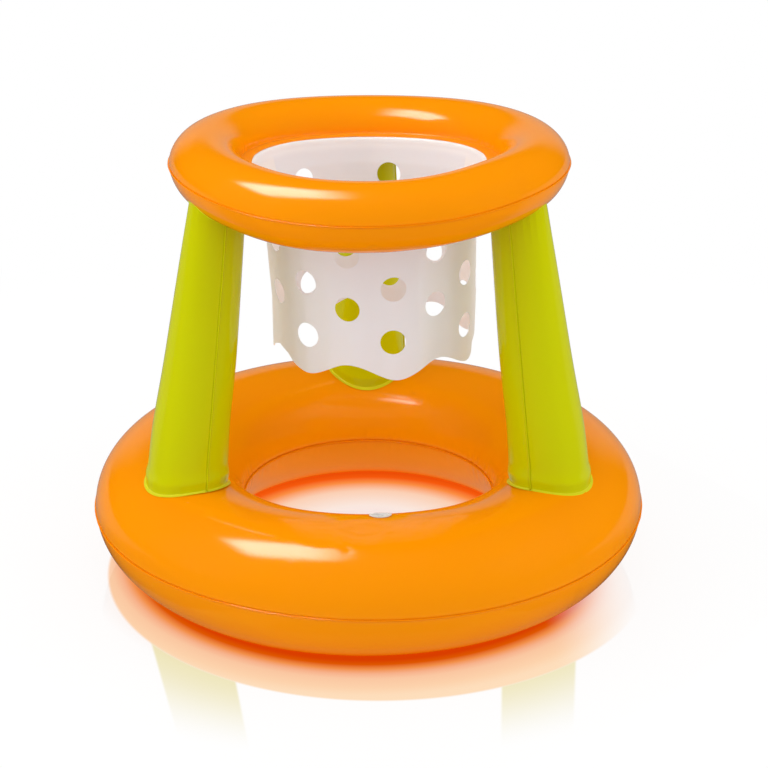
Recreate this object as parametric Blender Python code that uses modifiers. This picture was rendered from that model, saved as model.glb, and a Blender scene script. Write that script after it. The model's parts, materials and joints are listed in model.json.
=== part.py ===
"""A floating basketball hoop of welded vinyl film, in metres, +Z up.

An inflated base ring carries three inflated legs, and they carry an inflated rim ring with a
punched net sheet welded inside it. Each of the five air chambers has a push-in valve. The origin
lies on the hoop's axis, on the surface that it rests on, and -Y is the front.
"""

import math
from dataclasses import dataclass

import bmesh
import bpy
from mathutils import Matrix, Vector

# Film and welds
FILM = 0.0003
NET_FILM = 0.0004
WELD_GAP = 0.0003
SEAM_FIN = 0.002

# Base ring
BASE_RADIUS = 0.2439
BASE_HALF_WIDTH = 0.0900
BASE_HALF_HEIGHT = 0.0764
BASE_REST_HALF_WIDTH = 0.011
BASE_SEGMENTS = 48
BASE_ARC_STEPS = 8

# Rim ring
RIM_RADIUS = 0.1904
RIM_HALF_WIDTH = 0.0398
RIM_HALF_HEIGHT = 0.0373
RIM_CENTRE_HEIGHT = 0.4916
RIM_INNER_BAND = 0.0150
RIM_SEGMENTS = 48
RIM_ARC_STEPS = 6

# Legs: the offsets move a leg's axis out from the middle of the tube that it stands on or carries,
# at the height where the leg's inner and outer sides meet that tube
LEG_DEGREES = {"left": 208, "right": 331, "rear": 90}
LEG_FOOT_OFFSET = {"left": -0.0027, "right": -0.0027, "rear": -0.0062}
LEG_FOOT_HALF_RADIAL = {"left": 0.0467, "right": 0.0467, "rear": 0.0502}
LEG_FOOT_HALF_TANGENTIAL = 0.0514
LEG_FOOT_BAND = 0.0050
LEG_HEAD_OFFSET = 0.0004
LEG_HEAD_MARGIN = 0.0063
LEG_HEAD_HALF_TANGENTIAL = 0.0260
LEG_HEAD_BAND = 0.0020
LEG_WELD_GAP = 0.0006
LEG_SIDE_STEPS = 12
LEG_WALL_STEPS = 2
SETTLING_STEPS = 24

# Net sheet
NET_HEM_LAP = 0.0110
NET_SHOULDER = 0.0020
NET_SHOULDER_DROP = 0.0060
NET_DRAW_IN = 0.0142
NET_TAPER = 0.0010
NET_LENGTH = 0.2105
NET_SWAY = 0.0075
NET_WAVE = 0.0092
NET_LOBE_COUNT = 7
NET_FIRST_LOBE_DEGREES = -78.4
NET_SEGMENTS = 42
NET_DROP_SHARES = (0.12, 0.38, 0.70)
NET_DRAW_SHARES = (0.45, 0.85, 1.0)
HOLE_RADIUS = 0.0145
HOLE_SPACING = 0.0639
HOLE_STAGGER = 0.0395
HOLE_LOWEST_RISE = 0.0364
HOLE_FIRST_DEGREES = -30.9
HOLE_PITCH_DEGREES = 24.8
HOLE_EVEN_GAPS = 10
HOLE_COLUMNS = 14
HOLE_TOP_MARGIN = 0.0100
HOLE_SEGMENTS = 12

# Valves: the heights run from the film's surface, and down is into the chamber
VALVE_FLANGE_RADIUS = 0.0130
VALVE_WALL = 0.0006
VALVE_DISH_RADIUS = 0.0092
VALVE_DISH_DEPTH = 0.0045
VALVE_SLEEVE_LENGTH = 0.0045
VALVE_STEM_RADIUS = 0.0050
VALVE_STEM_BORE = 0.0026
VALVE_STEM_TRAVEL = 0.0100
VALVE_LIP_RADIUS = 0.0078
VALVE_LIP_HEIGHT = 0.0012
VALVE_COLLAR_OVERHANG = 0.0009
VALVE_COLLAR_HEIGHT = 0.0010
VALVE_CLEARANCE = 0.0003
VALVE_FLAP_RADIUS = 0.0040
VALVE_FLAP_HEIGHT = 0.0004
PLUG_HEAD_RADIUS = 0.0048
PLUG_HEAD_HEIGHT = 0.0012
PLUG_PIN_LENGTH = 0.0038
PLUG_CLEARANCE = 0.00015
PLUG_STRAP_WIDTH = 0.0030
PLUG_STRAP_HEIGHT = 0.0008
PLUG_HINGE_INSET = 0.0006
VALVE_SEGMENTS = 14
SEAT_SEGMENTS = 16

# Places of the valves
BASE_VALVE_DEGREES = -87.1
BASE_VALVE_SECTION_DEGREES = 107
RIM_VALVE_DEGREES = 150
RIM_VALVE_SECTION_DEGREES = -62
LEG_VALVE_HEIGHT = 0.300

# Cutting
CUT_OVERRUN = 0.012
MERGE = 0.00005

# Colours, with their alpha, and roughness
ORANGE = (0.92, 0.27, 0.002, 1.0)
ORANGE_ROUGHNESS = 0.22
LIME = (0.55, 0.58, 0.0, 1.0)
LIME_ROUGHNESS = 0.25
FROST = (0.80, 0.74, 0.72, 0.85)
FROST_ROUGHNESS = 0.5
CLEAR = (0.85, 0.86, 0.86, 0.55)
CLEAR_ROUGHNESS = 0.12

TURN = 2 * math.pi


@dataclass(frozen=True)
class Ring:
    """A tube of elliptical section, bent round the hoop's axis."""

    radius: float
    half_width: float
    half_height: float
    height: float

    def section_point(self, section, grown=0):
        """Distance from the axis and height of a point at an angle round the tube, 0 at its outer side."""
        out = self.radius + (self.half_width + grown) * math.cos(section)
        return out, self.height + (self.half_height + grown) * math.sin(section)

    def point(self, azimuth, section):
        out, height = self.section_point(section)
        return Vector((out * math.cos(azimuth), out * math.sin(azimuth), height))

    def level(self, point):
        """Below zero inside the tube, above zero outside it."""
        across = (math.hypot(point.x, point.y) - self.radius) / self.half_width
        return across**2 + ((point.z - self.height) / self.half_height) ** 2 - 1

    def rise(self, offset, grown=0):
        """How far the grown tube's surface lies above its middle, at an offset from the middle."""
        return (self.half_height + grown) * math.sqrt(1 - (offset / (self.half_width + grown)) ** 2)

    def rise_at(self, point, grown):
        return self.rise(math.hypot(point.x, point.y) - self.radius, grown)


@dataclass(frozen=True)
class Leg:
    """A tapered tube of elliptical section that leans in from the base ring to the rim ring."""

    azimuth: float
    foot_offset: float
    foot_half_radial: float
    base: Ring
    rim: Ring

    @property
    def outward(self):
        return Vector((math.cos(self.azimuth), math.sin(self.azimuth), 0))

    @property
    def sideways(self):
        return Vector((-math.sin(self.azimuth), math.cos(self.azimuth), 0))

    def section(self, height):
        """Distance of the leg's middle from the axis, and its two half widths, at a height."""
        head_half_radial = self.rim.half_width - LEG_HEAD_MARGIN
        foot = self.base.height + self.base.rise(self.foot_half_radial)
        head = self.rim.height - self.rim.rise(head_half_radial)
        share = (height - foot) / (head - foot)
        foot_out = self.base.radius + self.foot_offset
        head_out = self.rim.radius + LEG_HEAD_OFFSET
        foot_sizes = (foot_out, self.foot_half_radial, LEG_FOOT_HALF_TANGENTIAL)
        head_sizes = (head_out, head_half_radial, LEG_HEAD_HALF_TANGENTIAL)
        return [low + (high - low) * share for low, high in zip(foot_sizes, head_sizes)]

    def point(self, side, height, grown=0):
        """A point of the wall at an angle round the leg, 0 at its outer side."""
        middle, half_radial, half_tangential = self.section(height)
        place = self.outward * (middle + (half_radial + grown) * math.cos(side))
        place += self.sideways * (half_tangential + grown) * math.sin(side)
        place.z = height
        return place

    def level(self, point):
        """Below zero inside the leg, above zero outside it."""
        middle, half_radial, half_tangential = self.section(point.z)
        across = (point.dot(self.outward) - middle) / half_radial
        return across**2 + (point.dot(self.sideways) / half_tangential) ** 2 - 1

    def foot_point(self, side, band):
        """Where the wall, moved out by the weld band, meets the base ring's film."""
        height = self.base.height + self.base.half_height
        for _ in range(SETTLING_STEPS):
            place = self.point(side, height, band)
            height = self.base.height + self.base.rise_at(place, LEG_WELD_GAP + FILM)
        return self.point(side, height, band)

    def head_point(self, side, band):
        """Where the wall, moved out by the weld band, meets the rim ring's film."""
        height = self.rim.height - self.rim.half_height
        for _ in range(SETTLING_STEPS):
            place = self.point(side, height, band)
            height = self.rim.height - self.rim.rise_at(place, LEG_WELD_GAP + FILM)
        return self.point(side, height, band)


def base_height():
    """Height of the base tube's middle, with the tube flattened where it rests."""
    return BASE_HALF_HEIGHT * math.sqrt(1 - (BASE_REST_HALF_WIDTH / BASE_HALF_WIDTH) ** 2)


BASE = Ring(BASE_RADIUS, BASE_HALF_WIDTH, BASE_HALF_HEIGHT, base_height())
RIM = Ring(RIM_RADIUS, RIM_HALF_WIDTH, RIM_HALF_HEIGHT, RIM_CENTRE_HEIGHT)


def clear_scene():
    for old in list(bpy.data.objects):
        bpy.data.objects.remove(old, do_unlink=True)


def new_collection(name):
    collection = bpy.data.collections.new(name)
    bpy.context.scene.collection.children.link(collection)
    return collection


def new_material(name, colour, roughness):
    material = bpy.data.materials.new(name)
    material.use_nodes = True
    shader = material.node_tree.nodes["Principled BSDF"]
    shader.inputs["Base Color"].default_value = colour
    shader.inputs["Roughness"].default_value = roughness
    shader.inputs["Metallic"].default_value = 0
    shader.inputs["Alpha"].default_value = colour[3]
    return material


def add_part(name, mesh, material, parent=None):
    """Puts a mesh in the scene as a named sub-part."""
    part = bpy.data.objects.new(name, mesh)
    mesh.materials.append(material)
    PARTS.objects.link(part)
    part.parent = parent
    return part


def add_cutter(name, mesh):
    cutter = bpy.data.objects.new(name, mesh)
    cutter.hide_render = True
    cutter.display_type = "WIRE"
    CUTTERS.objects.link(cutter)
    return cutter


def cut(part, cutter):
    modifier = part.modifiers.new(cutter.name, "BOOLEAN")
    modifier.operation = "DIFFERENCE"
    modifier.object = cutter


def thicken(part, thickness):
    """Gives a surface its wall, on the side that it faces away from."""
    modifier = part.modifiers.new("wall", "SOLIDIFY")
    modifier.thickness = thickness
    modifier.offset = -1
    modifier.use_even_offset = True


def line_mesh(name, points, closed):
    """A profile in the XZ plane, as a line of edges."""
    mesh = bpy.data.meshes.new(name)
    corners = list(range(len(points)))
    edges = list(zip(corners, corners[1:]))
    if closed:
        edges.append((corners[-1], corners[0]))
    mesh.from_pydata([(out, 0, height) for out, height in points], edges, [])
    return mesh


def turn(part, steps):
    """Turns a part's profile into a full ring round its Z axis."""
    modifier = part.modifiers.new("turn", "SCREW")
    modifier.axis = "Z"
    modifier.angle = TURN
    modifier.steps = steps
    modifier.render_steps = steps
    modifier.use_merge_vertices = True
    modifier.merge_threshold = MERGE
    modifier.use_smooth_shade = True


def grid_mesh(name, rows, joined):
    """A surface through rows of points. Joined rows run all the way round."""
    mesh = bpy.data.meshes.new(name)
    count = len(rows[0])
    faces = []
    for row in range(len(rows) - 1):
        for column in range(count if joined else count - 1):
            after = (column + 1) % count
            near, far = row * count, (row + 1) * count
            faces.append((near + column, near + after, far + after, far + column))
    mesh.from_pydata([point for row in rows for point in row], [], faces)
    mesh.shade_smooth()
    return mesh


def drum(radius, depth, segments):
    """A cylinder with its caps, centred on its own origin and standing along Z."""
    mesh = bpy.data.meshes.new("drum")
    shape = bmesh.new()
    bmesh.ops.create_cone(
        shape, cap_ends=True, segments=segments, radius1=radius, radius2=radius, depth=depth
    )
    shape.to_mesh(mesh)
    shape.free()
    return mesh


def arc(first, last, steps):
    return [first + (last - first) * step / steps for step in range(steps + 1)]


def panel_profile(ring, upper, steps, inner_band, rest_half_width):
    """A film panel's line from one weld fin, over its half of the tube, to the other fin."""
    lift = WELD_GAP / 2 + FILM
    seam = math.asin(lift / ring.half_height)
    outer_fin = ring.radius + ring.half_width + SEAM_FIN
    inner_fin = ring.radius - ring.half_width - inner_band
    if upper:
        sections = arc(math.pi - seam, seam, steps)
        height = ring.height + lift
        ends = (inner_fin, outer_fin)
    elif rest_half_width:
        rest = math.acos(rest_half_width / ring.half_width)
        outer_arc = arc(-seam, -rest, steps // 2)
        sections = outer_arc + [-math.pi - section for section in reversed(outer_arc)]
        height = ring.height - lift
        ends = (outer_fin, inner_fin)
    else:
        sections = arc(-seam, seam - math.pi, steps)
        height = ring.height - lift
        ends = (outer_fin, inner_fin)
    line = [ring.section_point(section) for section in sections]
    return [(ends[0], height)] + line + [(ends[1], height)]


def add_panel(name, ring, upper, steps, segments, inner_band, rest_half_width=0):
    profile = panel_profile(ring, upper, steps, inner_band, rest_half_width)
    panel = add_part(name, line_mesh(name, profile, closed=False), ORANGE_FILM)
    turn(panel, segments)
    thicken(panel, FILM)
    return panel


def add_leg_panel(name, leg, outer):
    """Half of a leg's film, from one side seam to the other, turned out at foot and head."""
    seam_angle = WELD_GAP / 2 / LEG_HEAD_HALF_TANGENTIAL
    half = math.pi / 2 - seam_angle
    middle = 0 if outer else math.pi
    sides = arc(middle - half, middle + half, LEG_SIDE_STEPS)
    foot = [leg.foot_point(side, 0) for side in sides]
    head = [leg.head_point(side, 0) for side in sides]
    rows = [[leg.foot_point(side, LEG_FOOT_BAND) for side in sides]]
    for share in arc(0, 1, LEG_WALL_STEPS):
        rows.append([low.lerp(high, share) for low, high in zip(foot, head)])
    rows.append([leg.head_point(side, LEG_HEAD_BAND) for side in sides])
    panel = add_part(name, grid_mesh(name, rows, joined=False), LIME_FILM)
    thicken(panel, FILM)
    return panel


def net_column(azimuth, out, height, sway):
    return (sway + out * math.cos(azimuth), out * math.sin(azimuth), height)


def net_rows():
    """Rows of points down the net: a flat hem, a shoulder, and a wall that ends in a wave."""
    hem_height = RIM.height - WELD_GAP / 2 - FILM - WELD_GAP
    band_edge = RIM.radius - RIM.half_width - RIM_INNER_BAND
    wall_drop = NET_LENGTH - NET_SHOULDER_DROP
    azimuths = [TURN * column / NET_SEGMENTS for column in range(NET_SEGMENTS)]
    rings = [
        (band_edge + NET_HEM_LAP, 0, 0),
        (band_edge, 0, 0),
        (band_edge - NET_SHOULDER, NET_SHOULDER_DROP, 0),
    ]
    for drop_share, draw_share in zip(NET_DROP_SHARES, NET_DRAW_SHARES):
        out = band_edge - NET_SHOULDER - (NET_DRAW_IN - NET_SHOULDER) * draw_share
        rings.append((out, NET_SHOULDER_DROP + wall_drop * drop_share, drop_share * NET_SWAY))
    rows = []
    for out, drop, sway in rings:
        rows.append([net_column(azimuth, out, hem_height - drop, sway) for azimuth in azimuths])
    first = math.radians(NET_FIRST_LOBE_DEGREES)
    hem_out = band_edge - NET_DRAW_IN - NET_TAPER
    waved = []
    for azimuth in azimuths:
        drop = NET_LENGTH + NET_WAVE * math.cos(NET_LOBE_COUNT * (azimuth - first))
        waved.append(net_column(azimuth, hem_out, hem_height - drop, NET_SWAY))
    rows.append(waved)
    return rows


def punch_matrix(azimuth, height):
    """Stands a punch square to the net's wall."""
    out = RIM.radius - RIM.half_width - RIM_INNER_BAND - NET_DRAW_IN
    place = Matrix.Translation(Vector(net_column(azimuth, out, height, NET_SWAY)))
    return place @ Matrix.Rotation(azimuth, 4, "Z") @ Matrix.Rotation(math.pi / 2, 4, "Y")


def hole_azimuth(column):
    """Columns of holes keep one pitch, and stand further apart where the sheet's ends overlap."""
    even_turn = math.radians(HOLE_EVEN_GAPS * HOLE_PITCH_DEGREES)
    turned = even_turn * column / HOLE_EVEN_GAPS
    if column > HOLE_EVEN_GAPS:
        share = (column - HOLE_EVEN_GAPS) / (HOLE_COLUMNS - HOLE_EVEN_GAPS)
        turned = even_turn + (TURN - even_turn) * share
    return math.radians(HOLE_FIRST_DEGREES) - turned


def hole_places():
    """Azimuth and height of each hole. Every second column is raised."""
    lowest = RIM.height - NET_LENGTH + HOLE_LOWEST_RISE
    highest = RIM.height - NET_SHOULDER_DROP - HOLE_TOP_MARGIN - HOLE_RADIUS
    places = []
    for column in range(HOLE_COLUMNS):
        height = lowest + (HOLE_STAGGER if column % 2 else 0)
        while height < highest:
            places.append((hole_azimuth(column), height))
            height += HOLE_SPACING
    return places


def add_net():
    net = add_part("net_sheet", grid_mesh("net_sheet", net_rows(), joined=True), NET_VINYL)
    thicken(net, NET_FILM)
    punches = bmesh.new()
    for azimuth, height in hole_places():
        bmesh.ops.create_cone(
            punches,
            cap_ends=True,
            segments=HOLE_SEGMENTS,
            radius1=HOLE_RADIUS,
            radius2=HOLE_RADIUS,
            depth=2 * CUT_OVERRUN,
            matrix=punch_matrix(azimuth, height),
        )
    mesh = bpy.data.meshes.new("net_punches")
    punches.to_mesh(mesh)
    punches.free()
    cut(net, add_cutter("net_punches", mesh))
    return net


def surface_normal(surface, point):
    """The outward direction of a ring's or a leg's surface at a point."""
    slopes = []
    for axis in range(3):
        step = Vector((0, 0, 0))
        step[axis] = FILM
        slopes.append(surface.level(point + step) - surface.level(point - step))
    return Vector(slopes).normalized()


def surface_lift(surface, place, normal):
    """How far along the normal the surface lies from a point beside it."""
    low, high = -VALVE_FLANGE_RADIUS, VALVE_FLANGE_RADIUS
    for _ in range(SETTLING_STEPS):
        middle = (low + high) / 2
        if surface.level(place + normal * middle) < 0:
            low = middle
        else:
            high = middle
    return (low + high) / 2


def valve_frame(surface, point):
    """Origin on the film, Z outwards and X level."""
    normal = surface_normal(surface, point)
    across = Vector((0, 0, 1)).cross(normal).normalized()
    turned = Matrix((across, normal.cross(across), normal)).transposed()
    return Matrix.Translation(point) @ turned.to_4x4()


def seat_rows(surface, frame):
    """Rings of a valve seat from its flange, which follows the film, down its dish and sleeve."""
    origin, normal = frame.translation, frame.to_3x3().col[2]
    sleeve_out = VALVE_STEM_RADIUS + VALVE_CLEARANCE
    sleeve_end = -VALVE_DISH_DEPTH - VALVE_SLEEVE_LENGTH
    angles = [TURN * segment / SEAT_SEGMENTS for segment in range(SEAT_SEGMENTS)]
    rows = []
    for out in (VALVE_FLANGE_RADIUS, (VALVE_FLANGE_RADIUS + VALVE_DISH_RADIUS) / 2, VALVE_DISH_RADIUS):
        row = []
        for angle in angles:
            flat = Vector((out * math.cos(angle), out * math.sin(angle), 0))
            lift = surface_lift(surface, origin + frame.to_3x3() @ flat, normal)
            row.append((flat.x, flat.y, lift + WELD_GAP + VALVE_WALL))
        rows.append(row)
    inner_rings = (
        (VALVE_LIP_RADIUS + VALVE_CLEARANCE, -VALVE_DISH_DEPTH),
        (sleeve_out, -VALVE_DISH_DEPTH),
        (sleeve_out, sleeve_end),
    )
    for out, height in inner_rings:
        rows.append([(out * math.cos(angle), out * math.sin(angle), height) for angle in angles])
    return rows


def stem_profile():
    """The stem's closed outline: a lip, a tube, and a collar that stops it at full travel."""
    bottom = stem_bottom()
    lip_floor = -VALVE_DISH_DEPTH + VALVE_CLEARANCE
    collar_out = VALVE_STEM_RADIUS + VALVE_CLEARANCE + VALVE_COLLAR_OVERHANG
    return [
        (VALVE_LIP_RADIUS, lip_top()),
        (VALVE_LIP_RADIUS, lip_floor),
        (VALVE_STEM_RADIUS, lip_floor),
        (VALVE_STEM_RADIUS, bottom + VALVE_COLLAR_HEIGHT),
        (collar_out, bottom + VALVE_COLLAR_HEIGHT),
        (collar_out, bottom),
        (VALVE_STEM_BORE, bottom),
        (VALVE_STEM_BORE, lip_top()),
    ]


def lip_top():
    return -VALVE_DISH_DEPTH + VALVE_CLEARANCE + VALVE_LIP_HEIGHT


def stem_bottom():
    sleeve_end = -VALVE_DISH_DEPTH - VALVE_SLEEVE_LENGTH
    return sleeve_end - VALVE_CLEARANCE - VALVE_STEM_TRAVEL - VALVE_COLLAR_HEIGHT


def plug_profile(hinge_out):
    """Half of the plug's outline, with a pin tapered so that it swings clear of the bore."""
    strap_middle = PLUG_STRAP_HEIGHT / 2
    bore_corner = math.hypot(hinge_out + VALVE_STEM_BORE, VALVE_CLEARANCE + strap_middle)
    pin_drop = strap_middle + PLUG_PIN_LENGTH
    tip_out = math.sqrt(bore_corner**2 - pin_drop**2) - hinge_out - 2 * PLUG_CLEARANCE
    return [
        (0, PLUG_HEAD_HEIGHT - strap_middle),
        (PLUG_HEAD_RADIUS, PLUG_HEAD_HEIGHT - strap_middle),
        (PLUG_HEAD_RADIUS, -strap_middle),
        (VALVE_STEM_BORE - PLUG_CLEARANCE, -strap_middle),
        (tip_out, -pin_drop),
        (0, -pin_drop),
    ]


def add_plug(name, stem):
    """A plug whose origin lies on its hinge line, at the end of its strap."""
    hinge_out = VALVE_LIP_RADIUS - PLUG_HINGE_INSET
    plug = add_part(name, bpy.data.meshes.new(name), CLEAR_VINYL, stem)
    plug.location = (hinge_out, 0, lip_top() + VALVE_CLEARANCE + PLUG_STRAP_HEIGHT / 2)
    outline = line_mesh("turned_plug", plug_profile(hinge_out), closed=False)
    turned = bpy.data.objects.new("turned_plug", outline)
    CUTTERS.objects.link(turned)
    turn(turned, VALVE_SEGMENTS)
    body = bpy.data.meshes.new_from_object(turned.evaluated_get(bpy.context.evaluated_depsgraph_get()))
    bpy.data.objects.remove(turned)
    body.transform(Matrix.Translation((-hinge_out, 0, 0)))
    body.materials.append(CLEAR_VINYL)
    plug.data = body
    strap = bpy.data.meshes.new(name + "_strap")
    shape = bmesh.new()
    strap_length = hinge_out - PLUG_HEAD_RADIUS / 2
    size = Matrix.Diagonal((strap_length, PLUG_STRAP_WIDTH, PLUG_STRAP_HEIGHT, 1))
    place = Matrix.Translation((-strap_length / 2, 0, 0))
    bmesh.ops.create_cube(shape, size=1, matrix=place @ size)
    shape.to_mesh(strap)
    shape.free()
    helper = add_cutter(name + "_strap", strap)
    helper.parent = plug
    join = plug.modifiers.new("strap", "BOOLEAN")
    join.operation = "UNION"
    join.object = helper
    return plug


def add_valve(name, surface, point, panel):
    """A valve in a film panel: the seat is welded over a hole, and the stem slides in the seat."""
    frame = bpy.data.objects.new(name + "_valve", None)
    PARTS.objects.link(frame)
    frame.matrix_world = valve_frame(surface, point)
    seat_name, stem_name = name + "_valve_seat", name + "_valve_stem"
    rows = seat_rows(surface, valve_frame(surface, point))
    seat = add_part(seat_name, grid_mesh(seat_name, rows, joined=True), CLEAR_VINYL, frame)
    thicken(seat, VALVE_WALL)
    stem = add_part(stem_name, line_mesh(stem_name, stem_profile(), closed=True), CLEAR_VINYL, frame)
    turn(stem, VALVE_SEGMENTS)
    flap_mesh = drum(VALVE_FLAP_RADIUS, VALVE_FLAP_HEIGHT, VALVE_SEGMENTS)
    flap = add_part(name + "_valve_flap", flap_mesh, CLEAR_VINYL, stem)
    flap.location.z = stem_bottom() - VALVE_CLEARANCE - VALVE_FLAP_HEIGHT / 2
    add_plug(name + "_valve_plug", stem)
    hole_radius = VALVE_DISH_RADIUS + VALVE_WALL + VALVE_CLEARANCE
    hole = add_cutter(name + "_valve_hole", drum(hole_radius, 2 * CUT_OVERRUN, SEAT_SEGMENTS))
    hole.parent = frame
    cut(panel, hole)


def build():
    rings = (
        ("base", BASE, BASE_ARC_STEPS, BASE_SEGMENTS, SEAM_FIN, BASE_REST_HALF_WIDTH),
        ("rim", RIM, RIM_ARC_STEPS, RIM_SEGMENTS, RIM_INNER_BAND, 0),
    )
    panels = {}
    for name, ring, steps, segments, inner_band, rest_half_width in rings:
        upper, lower = name + "_upper_film", name + "_lower_film"
        panels[upper] = add_panel(upper, ring, True, steps, segments, inner_band)
        panels[lower] = add_panel(lower, ring, False, steps, segments, inner_band, rest_half_width)
    add_net()
    base_place = BASE.point(math.radians(BASE_VALVE_DEGREES), math.radians(BASE_VALVE_SECTION_DEGREES))
    add_valve("base", BASE, base_place, panels["base_upper_film"])
    rim_place = RIM.point(math.radians(RIM_VALVE_DEGREES), math.radians(RIM_VALVE_SECTION_DEGREES))
    add_valve("rim", RIM, rim_place, panels["rim_lower_film"])
    for side, degrees in LEG_DEGREES.items():
        azimuth = math.radians(degrees)
        leg = Leg(azimuth, LEG_FOOT_OFFSET[side], LEG_FOOT_HALF_RADIAL[side], BASE, RIM)
        name = "leg_" + side
        add_leg_panel(name + "_outer_film", leg, outer=True)
        inner = add_leg_panel(name + "_inner_film", leg, outer=False)
        add_valve(name, leg, leg.point(math.pi, LEG_VALVE_HEIGHT), inner)


clear_scene()
PARTS = new_collection("floating_hoop")
CUTTERS = new_collection("cutters")
ORANGE_FILM = new_material("orange_film", ORANGE, ORANGE_ROUGHNESS)
LIME_FILM = new_material("lime_film", LIME, LIME_ROUGHNESS)
NET_VINYL = new_material("net_vinyl", FROST, FROST_ROUGHNESS)
CLEAR_VINYL = new_material("clear_vinyl", CLEAR, CLEAR_ROUGHNESS)
build()
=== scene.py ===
"""The looks of a floating basketball hoop of welded vinyl film.

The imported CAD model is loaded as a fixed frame. Each film panel, the punched net and each part of
the air valves gets a finer piece that stands for its CAD node, rides on the node's body and has a
procedural finish. Lengths are in metres, +Z is up and -Y is the front.
"""

from __future__ import annotations

import json
import logging
import math
from collections.abc import Iterable
from dataclasses import dataclass
from enum import Enum

import bmesh
import bpy
import numpy as np
from mathutils import Matrix, Vector


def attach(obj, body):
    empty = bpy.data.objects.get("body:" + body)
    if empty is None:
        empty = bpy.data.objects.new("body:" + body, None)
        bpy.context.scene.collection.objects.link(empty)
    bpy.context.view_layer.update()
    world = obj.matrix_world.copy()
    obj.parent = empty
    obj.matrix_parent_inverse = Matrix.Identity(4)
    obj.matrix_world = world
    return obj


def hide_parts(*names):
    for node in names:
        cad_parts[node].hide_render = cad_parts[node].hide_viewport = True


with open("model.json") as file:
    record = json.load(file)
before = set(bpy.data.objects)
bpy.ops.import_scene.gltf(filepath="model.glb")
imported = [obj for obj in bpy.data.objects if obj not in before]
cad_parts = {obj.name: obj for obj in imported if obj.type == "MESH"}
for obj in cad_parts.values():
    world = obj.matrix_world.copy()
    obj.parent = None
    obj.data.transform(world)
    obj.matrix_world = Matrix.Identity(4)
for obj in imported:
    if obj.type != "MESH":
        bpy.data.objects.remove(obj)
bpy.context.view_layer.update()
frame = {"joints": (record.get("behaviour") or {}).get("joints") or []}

LOG = logging.getLogger("floating_hoop")
TURN = 2 * math.pi
WHITE = (1.0, 1.0, 1.0, 1.0)


class Body(Enum):
    """The fixed body of the frame. Each valve adds a stem body and a plug body of its own."""

    HOOP = "hoop"


class Slot(Enum):
    """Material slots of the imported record."""

    ORANGE = "orange_film"
    LIME = "lime_film"
    NET = "net_vinyl"
    CLEAR = "clear_vinyl"


# Node trees


@dataclass(frozen=True)
class Value:
    """A number socket of a node tree, with arithmetic that adds Math nodes."""

    tree: Tree
    socket: bpy.types.NodeSocket

    def __add__(self, other: Value | float) -> Value:
        """Sum."""
        return self.tree.math("ADD", self, other)

    def __radd__(self, other: float) -> Value:
        """Sum, with a plain number first."""
        return self.tree.math("ADD", other, self)

    def __sub__(self, other: Value | float) -> Value:
        """Difference."""
        return self.tree.math("SUBTRACT", self, other)

    def __rsub__(self, other: float) -> Value:
        """Difference, with a plain number first."""
        return self.tree.math("SUBTRACT", other, self)

    def __mul__(self, other: Value | float) -> Value:
        """Product."""
        return self.tree.math("MULTIPLY", self, other)

    def __rmul__(self, other: float) -> Value:
        """Product, with a plain number first."""
        return self.tree.math("MULTIPLY", other, self)

    def __truediv__(self, other: Value | float) -> Value:
        """Quotient."""
        return self.tree.math("DIVIDE", self, other)

    def __mod__(self, other: Value | float) -> Value:
        """Remainder."""
        return self.tree.math("FLOORED_MODULO", self, other)


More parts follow.
